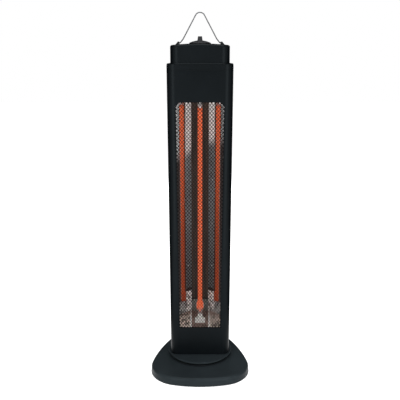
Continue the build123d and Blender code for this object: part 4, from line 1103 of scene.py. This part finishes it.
@dataclass
class HeatingTape:
    """Carbon tape wound along the quartz tube, with a lead at each end."""

    axis_y: float = -12.0 * MM
    low_z: float = TAPE_FOOT_Z
    high_z: float = TAPE_TOP_Z
    radius: float = 4.55 * MM
    thick: float = 0.35 * MM
    width: float = 4.6 * MM
    pitch: float = 6.2 * MM
    steps: int = 20
    lead_radius: float = 0.8 * MM
    lead_sides: int = 12
    taper: float = 17.0 * MM
    tip_share: float = 0.25

    def winding(self) -> np.ndarray:
        """A flat section carried along a helix.

        The helix turns once for each pitch of height. The section is a rectangle,
        the tape's thickness across the radius and its width along Z. The helix
        narrows in a straight line to a share of its radius at its foot.

        Returns:
            Array (places along the helix, 4, 3).
        """
        run = self.high_z - self.low_z - self.width
        turns = run / self.pitch
        share = np.linspace(0, 1, int(turns * self.steps))[:, None]
        turn = math.tau * turns * share
        rise = self.width / 2 * np.array([-1, 1, 1, -1])[None]
        middle = self.low_z + self.width / 2 + run * share
        widen = np.clip((middle + rise - self.low_z) / self.taper, 0, 1)
        coil = self.radius * (self.tip_share + (1 - self.tip_share) * widen)
        radius = coil - np.array([0, 0, self.thick, self.thick])[None]
        x = radius * np.cos(turn)
        y = self.axis_y + radius * np.sin(turn)
        return np.stack([x, y, middle + rise + 0 * turn], axis=-1)

    def build(self) -> None:
        """The winding and its two straight leads."""
        low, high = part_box("heating_filament")
        skin = Skin()
        skin.sweep(self.winding()[:, ::-1], True)
        for bottom, top in ((low.z, self.low_z), (self.high_z, high.z)):
            path = np.array([[0, self.axis_y, bottom], [0, self.axis_y, top]])
            radii = np.full(2, self.lead_radius)
            skin.sweep(tube_rings(path, radii, self.lead_sides, (1, 0, 0)), True)
        nodes = ["heating_filament"]
        skin.finish("wound_carbon_tape", "glowing_ribbon", Body.TOWER, nodes, sharp=40)


@dataclass
class WingRivets:
    """Small domed rivets that hold the reflector wings to the frame behind them."""

    half: float = 20.5 * MM
    face_y: float = 18.0 * MM
    angle: float = 37.0
    along: float = 10.5 * MM
    heights: tuple[float, ...] = (0.25, 0.36, 0.468, 0.61)
    radius: float = 1.7 * MM
    height: float = 0.8 * MM
    sides: int = 20

    def build(self) -> None:
        """A shallow dome, turned square to each wing, at each height.

        The dome's profile is a quarter ellipse, from its middle to a rim that
        sits on the sheet.
        """
        bend = math.radians(self.angle)
        lift = QUARTER[:, None]
        profile = np.concatenate([self.radius * np.cos(lift), self.height * np.sin(lift)], axis=1)
        dome = spun(np.concatenate([[[0.0, 0.0]], profile]), self.sides)
        skin = Skin()
        for side in (-1, 1):
            out = np.array([-side * math.sin(bend), -math.cos(bend), 0])
            x = side * (self.half + self.along * math.cos(bend))
            y = self.face_y - self.along * math.sin(bend)
            for z in self.heights:
                skin.sweep(turned(dome, np.cross(UP, out), UP, out) + np.array([x, y, z]))
        skin.finish("wing_rivets", "zinc_steel", Body.TOWER, [], sharp=50)


# Knob and handle
@dataclass
class ControlKnob:
    """Domed knob with a tall grip that grows out of it in one smooth surface."""

    radius: float = 24.5 * MM
    rim: float = 0.8 * MM
    rim_fade: float = 1.2 * MM
    dome: float = 5.4 * MM
    grip_top: float = 799.0 * MM
    half_top: float = 4.6 * MM
    half_bottom: float = 6.6 * MM
    end_radius: float = 20.6 * MM
    edge: float = 0.7 * MM
    flare: float = 0.9 * MM
    cavity: float = 10.0 * MM
    cavity_height: float = 2.5 * MM
    lines_across: Sequence[Run] = ((0, 3.2, 7), (3.5, 8.6, 36), (9, 24.4, 26))
    lines_along: Sequence[Run] = ((0, 0.7, 24), (0.72, 0.94, 30), (0.955, 1.0, 4))

    def height(self, x: np.ndarray, y: np.ndarray, bottom: float) -> np.ndarray:
        """Height of the top surface.

        The dome falls with the square of the radius. The grip is a flat top that
        drops steeply past its half width and past its end radius, with the drops
        joined by soft maxima. A last soft maximum of dome and grip makes the
        grip flare into the dome.

        Args:
            x: Places across the grip.
            y: Places along the grip.
            bottom: Height of the knob's lower face.

        Returns:
            Heights.
        """
        reach = np.hypot(x, y)
        low = bottom + self.rim + self.dome * (1 - (reach / self.radius) ** 2)
        steep = (self.grip_top - bottom) / (self.half_bottom - self.half_top)
        flank = (np.abs(x) - self.half_top) * steep
        tail = (reach - self.end_radius) * steep
        drop = self.edge * np.logaddexp.reduce([0 * x, flank / self.edge, tail / self.edge])
        high = np.maximum(self.grip_top - drop, bottom - 20 * self.flare)
        return self.flare * np.logaddexp(low / self.flare, high / self.flare)

    def build(self) -> None:
        """Top surface on a grid, and the rim and underside as one turned skin.

        The grid's lines across are in millimetres and bunched near the grip's
        sides. Those along are shares of the way to the knob's round edge, where
        all heights fade to the rim, and the turned skin starts from that edge.
        """
        low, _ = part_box("control_knob")
        side = spaced(*self.lines_across)
        across = (np.concatenate([-side[:0:-1], side]) * MM)[:, None]
        share = spaced(*self.lines_along)
        along = np.concatenate([-share[:0:-1], share])[None, :]
        x = across + 0 * along
        y = along * np.sqrt(self.radius**2 - x**2)
        fade = np.clip((self.radius - np.hypot(x, y)) / self.rim_fade, 0, 1) ** 0.5
        base = low.z + self.rim
        top = np.stack([x, y, base + (self.height(x, y, low.z) - base) * fade], axis=-1)
        index = np.arange(x.size).reshape(x.shape)
        loop = np.concatenate([index[:, 0], index[-1, 1:], index[-2::-1, -1], index[0, -2:0:-1]])
        edge = top.reshape(-1, 3)[loop]
        skin = Skin()
        skin.add(top, quad_faces(index.T, False))
        flat = edge * (1, 1, 0)
        inner = flat * self.cavity / self.radius
        roof = UP * (low.z + self.cavity_height)
        floor = UP * low.z
        skin.sweep(np.stack([0 * flat + roof, inner + roof, inner + floor, flat + floor, edge]))
        skin.finish("control_knob_body", "black_plastic", Body.KNOB, ["control_knob"], sharp=40)


@dataclass
class KnobSeat:
    """Thin ring on the cap's crown that closes the gap under the knob's rim."""

    inner: float = 16.0 * MM
    outer: float = 24.0 * MM
    crown: float = 783.6 * MM
    crown_radius: float = 600.0 * MM
    bury: float = 0.2 * MM
    top: float = 784.05 * MM
    bevel: float = 0.15 * MM
    sides: int = 96

    def foot(self, radius: float) -> float:
        """Height just under the crown, which falls with the square of the radius."""
        return self.crown - self.bury - radius**2 / (2 * self.crown_radius)

    def build(self) -> None:
        """Turn a section whose foot follows the crown."""
        section = np.array([
            [self.inner, self.foot(self.inner)],
            [self.outer, self.foot(self.outer)],
            [self.outer, self.top - self.bevel],
            [self.outer - self.bevel, self.top],
            [self.inner + self.bevel, self.top],
            [self.inner, self.top - self.bevel],
            [self.inner, self.foot(self.inner)],
        ])
        skin = Skin()
        skin.sweep(spun(section, self.sides))
        skin.finish("knob_seat_ring", "black_plastic", Body.TOWER, [], sharp=30)


@dataclass
class BailHandle:
    """Bent wire handle with eased bends and rounded ends inside the lugs."""

    pivot_z: float = 785.0 * MM
    end_x: float = 49.2 * MM
    foot_x: float = 44.4 * MM
    knee_x: float = 37.8 * MM
    knee_rise: float = 8.0 * MM
    leg: float = 61.5
    foot_bend: float = 2.8 * MM
    knee_bend: float = 30.0 * MM
    apex_bend: float = 11.1 * MM
    wire: float = 1.25 * MM
    sides: int = 20
    bend_points: int = 18
    leg_points: int = 10
    end_points: int = 5

    def bend(
        self, corner: np.ndarray, before: np.ndarray, after: np.ndarray, radius: float
    ) -> np.ndarray:
        """Arc that rounds a corner between two straight runs.

        The arc touches both runs and its centre lies on the corner's bisector. Its
        points turn evenly from one touching point to the other about the centre.

        Args:
            corner: The corner.
            before: Unit direction from the corner back along the first run.
            after: Unit direction from the corner along the second run.
            radius: Radius of the arc.

        Returns:
            Points of the arc.
        """
        half = math.acos(float(np.dot(before, after))) / 2
        middle = (before + after) / np.linalg.norm(before + after)
        centre = corner + middle * radius / math.sin(half)
        start = corner + before * radius / math.tan(half) - centre
        finish = corner + after * radius / math.tan(half) - centre
        sweep = math.pi - 2 * half
        share = np.linspace(0, 1, self.bend_points)[:, None]
        arc = np.sin((1 - share) * sweep) * start + np.sin(share * sweep) * finish
        return centre + arc / math.sin(sweep)

    def path(self) -> np.ndarray:
        """Centre line from one end to the other: runs and arcs, mirrored in x.

        Returns:
            Points of the line.
        """
        slope = math.radians(self.leg)
        foot = np.array([-self.foot_x, 0, self.pivot_z])
        knee = np.array([-self.knee_x, 0, self.pivot_z + self.knee_rise])
        apex = np.array([0, 0, knee[2] + self.knee_x * math.tan(slope)])
        up = np.array([math.cos(slope), 0, math.sin(slope)])
        lift = (knee - foot) / np.linalg.norm(knee - foot)
        first = self.bend(foot, np.array([-1.0, 0, 0]), lift, self.foot_bend)
        second = self.bend(knee, -lift, up, self.knee_bend)
        crown = self.bend(apex, -up, up * (1, 1, -1), self.apex_bend)
        run = np.linspace(second[-1], crown[0], self.leg_points)[1:-1]
        start = np.linspace([-self.end_x, 0, self.pivot_z], first[0], self.end_points)[:-1]
        left = np.concatenate([start, first, second, run, crown[: len(crown) // 2]])
        return np.concatenate([left, left[::-1] * (-1, 1, 1)])

    def build(self) -> None:
        """Carry a circle along the path, drawn in to a dome at each end.

        The dome is a quarter circle: the ring's radius is the sine of an angle
        and its distance past the run is the cosine of the same angle.
        """
        path = self.path()
        lift = QUARTER[:-1]
        dome = path[0] - np.cos(lift)[:, None] * np.array([self.wire, 0, 0])
        nose = self.wire * np.sin(lift)
        radii = np.concatenate([nose, np.full(len(path), self.wire), nose[::-1]])
        path = np.concatenate([dome, path, dome[::-1] * (-1, 1, 1)])
        skin = Skin()
        skin.sweep(tube_rings(path, radii, self.sides, (0, 1, 0)))
        skin.finish("bail_wire_loop", "bail_wire", Body.BAIL, ["bail_handle"], sharp=50)


# Screws
@dataclass
class ScrewSet:
    """Screws of one kind, each with a domed head, a cross recess and a shank.

    The head's rings and the recess's wings are given as shares of its radius, its
    edge and the recess's depth as shares of its height, and each screw is turned
    further than the one before it, in radians.
    """

    name: str
    node: str
    body: Body
    places: Sequence[Place]
    out: Place
    shank_radius: float
    shank_length: float
    head_radius: float = 0.0034
    head_height: float = 0.0013
    wing_half: float = 0.11
    wing_length: float = 0.6
    wing_wall: float = 0.05
    edge_share: float = 0.45
    recess_share: float = 0.5
    first_turn: float = 0.6
    next_turn: float = 1.1
    sides: int = 48
    rings: Sequence[float] = (
        1.0, 0.97, 0.9, 0.78, 0.68, 0.62, 0.56, 0.46, 0.36, 0.28, 0.2, 0.12, 0.0,
    )

    def head(self) -> np.ndarray:
        """One screw about its own axis, head up, as rings on polar lines.

        The head is a low dome. Its recess is cut by a wing shape: the depth is
        full where the place is nearer to a wing's middle line than half its width
        and inside its length, and falls off smoothly at its walls.

        Returns:
            Array (rings, sides, 3), from the shank's tip round to the middle.
        """
        turn = circle(self.sides)[None, :]
        share = np.array(self.rings)[:, None]
        radius = share * self.head_radius
        x, y = radius * np.cos(turn), radius * np.sin(turn)
        crown = np.sqrt(np.maximum(0, 1 - share**2))
        dome = self.head_height * (self.edge_share + (1 - self.edge_share) * crown)
        wing = np.minimum(np.abs(x), np.abs(y)) - self.wing_half * self.head_radius
        beyond = radius - self.wing_length * self.head_radius
        wall = self.wing_wall * self.head_radius
        inside = np.clip(-np.maximum(wing, beyond) / wall, 0, 1)
        top = np.stack([x, y, dome - self.recess_share * self.head_height * inside], axis=-1)
        below = np.array([
            [0.0, -self.shank_length],
            [self.shank_radius * 0.7, -self.shank_length],
            [self.shank_radius, -self.shank_length * 0.85],
            [self.shank_radius, 0.0],
            [self.head_radius * 0.96, 0.0],
            [self.head_radius, self.head_height * 0.08],
        ])
        return np.concatenate([spun(below, self.sides), top])

    def build(self) -> None:
        """Turn the screw to its direction and set one at each place."""
        out = np.array(self.out)
        up = UP if abs(out[2]) < 0.5 else BACK
        across = np.cross(up, out)
        skin = Skin()
        for count, place in enumerate(self.places):
            turn = self.first_turn + self.next_turn * count
            first = across * math.cos(turn) + up * math.sin(turn)
            screw = turned(self.head(), first, np.cross(out, first), out)
            skin.sweep(screw + np.array(place))
        skin.finish(self.name, "screw_steel", self.body, [self.node], sharp=30)


COVER_SCREWS = ScrewSet(
    name="fine_cover_screws",
    node="cover_screws",
    body=Body.TOWER,
    places=[(0.0, 0.0607, z) for z in (0.062, 0.280, 0.500, 0.700)],
    out=(0.0, 1.0, 0.0),
    shank_radius=0.0016,
    shank_length=0.0227,
)
BASE_SCREWS = ScrewSet(
    name="fine_base_screws",
    node="base_screws",
    body=Body.BASE,
    places=[
        (side * x, y, 0.0025)
        for x, y in ((0.101288, -0.057306), (0.067012, 0.057234))
        for side in (-1, 1)
    ],
    out=(0.0, 0.0, -1.0),
    shank_radius=0.0018,
    shank_length=0.0100,
)


# Studio
@dataclass(frozen=True)
class SoftLamp:
    """Soft rectangular lamp, wide and high in metres."""

    name: str
    place: Place
    aim: Place
    wide: float
    high: float
    watts: float
    mirrored: bool = True

    def build(self) -> None:
        """Stand the lamp at its place and face it to its aim."""
        data = bpy.data.lights.new(self.name, "AREA")
        data.shape, data.size, data.size_y = "RECTANGLE", self.wide, self.high
        data.energy = self.watts
        lamp = linked(self.name, data)
        lamp.visible_glossy = self.mirrored
        lamp.location = self.place
        toward = Vector(self.aim) - Vector(self.place)
        lamp.rotation_euler = toward.to_track_quat("-Z", "Y").to_euler()


@dataclass
class Studio:
    """Camera, pale floor, even sky, soft lamps and dark boards that gloss mirrors."""

    camera_place: Place = (0.0, -1.468, 0.811)
    camera_pitch: float = 75.1
    lens: float = 57.24
    sensor: float = 36.0
    sky: float = 0.37
    floor_half: float = 6.0
    floor_lift: float = 0.65
    lamps: tuple[SoftLamp, ...] = (
        SoftLamp("front_left", (-0.50, -0.95, 0.45), (0.0, 0.0, 0.44), 0.54, 0.90, 5.2),
        SoftLamp("front_right", (0.50, -0.95, 0.45), (0.0, 0.0, 0.44), 0.54, 0.90, 5.2),
        SoftLamp("rear", (0.0, 1.9, 0.9), (0.0, 0.0, 0.4), 0.6, 1.0, 22.0, mirrored=False),
        SoftLamp("overhead", (0.0, -0.3, 2.2), (0.0, 0.0, 0.5), 1.4, 1.4, 22.0),
    )
    board_x: float = 0.34
    board_y: float = -0.08
    board_back: float = 0.52
    board_high: float = 1.2

    def build(self) -> None:
        """Set up everything that isn't the heater."""
        self.camera()
        self.world()
        self.floor()
        for lamp in self.lamps:
            lamp.build()
        self.boards()
        bpy.context.scene.view_settings.view_transform = "Standard"

    def camera(self) -> None:
        """Look at the heater as in the photograph."""
        data = bpy.data.cameras.new("camera")
        data.lens, data.sensor_width = self.lens, self.sensor
        camera = linked("camera", data)
        camera.location = self.camera_place
        camera.rotation_euler = (math.radians(self.camera_pitch), 0, 0)
        bpy.context.scene.camera = camera

    def world(self) -> None:
        """White for the eye, glass and gloss, and a dimmer white light for the rest."""
        graph = Graph("studio", bpy.data.worlds)
        bpy.context.scene.world = graph.owner
        tone = graph.blend(graph.seen(), (self.sky,) * 3, WHITE)
        light = graph.add("ShaderNodeBackground", {}, {"Color": tone})
        graph.node("ShaderNodeOutputWorld", {}, {"Surface": light})

    @staticmethod
    def sheet(name: str, corners: Sequence[Any], finish: bpy.types.Material) -> bpy.types.Object:
        """Add one flat sheet, which isn't part of the heater.

        Args:
            name: The sheet's name.
            corners: Its four corners in turn.
            finish: Its material.

        Returns:
            The sheet's object.
        """
        mesh = bpy.data.meshes.new(name)
        mesh.from_pydata(corners, [], [[0, 1, 2, 3]])
        mesh.materials.append(finish)
        sheet = linked(name, mesh)
        sheet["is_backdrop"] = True
        return sheet

    def floor(self) -> None:
        """A wide pale floor that keeps the heater's shadow."""
        low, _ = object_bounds()
        graph = Graph("pale_floor")
        pale = dict(
            Base_Color=graph.blend(graph.noise(3.0, 2.0), (0.93,) * 3, (0.97,) * 3),
            Roughness=0.9,
            Emission_Color=graph.blend(graph.seen(), BLACK, (self.floor_lift,) * 3),
            Emission_Strength=1.0,
        )
        signs = ((-1, -1), (1, -1), (1, 1), (-1, 1))
        corners = [(x * self.floor_half, y * self.floor_half, low[2]) for x, y in signs]
        self.sheet("studio_floor", corners, graph.surface(pale))

    def boards(self) -> None:
        """Dark upright boards behind the heater that only gloss shows: they paint dark reflections
        that deepen its edges, and cast no shadow.
        """
        graph = Graph("board_cloth")
        cloth = graph.blend(graph.noise(400.0, 2.0), (0.003,) * 3, (0.006,) * 3)
        felt = graph.surface(dict(Base_Color=cloth, Roughness=1.0, Specular_IOR_Level=0.0))
        near, far, high = self.board_y, self.board_y + self.board_back, self.board_high
        for name, x in (("board_left", -self.board_x), ("board_right", self.board_x)):
            corners = [(x, near, 0), (0, far, 0), (0, far, high), (x, near, high)]
            board = self.sheet(name, corners, felt)
            board.visible_camera = board.visible_diffuse = board.visible_shadow = False


def main() -> None:
    """Load the frame, dress its solids, add the fine pieces and set the studio."""
    logging.basicConfig(level=logging.INFO, format="%(name)s %(message)s")
    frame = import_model()
    Studio().build()
    dress_nodes(frame)
    handmade = (GuardMesh(), HeatingTape(), WingRivets(), ControlKnob(), KnobSeat(), BailHandle())
    for piece in (*handmade, COVER_SCREWS, BASE_SCREWS):
        piece.build()


if __name__ == "__main__":
    main()
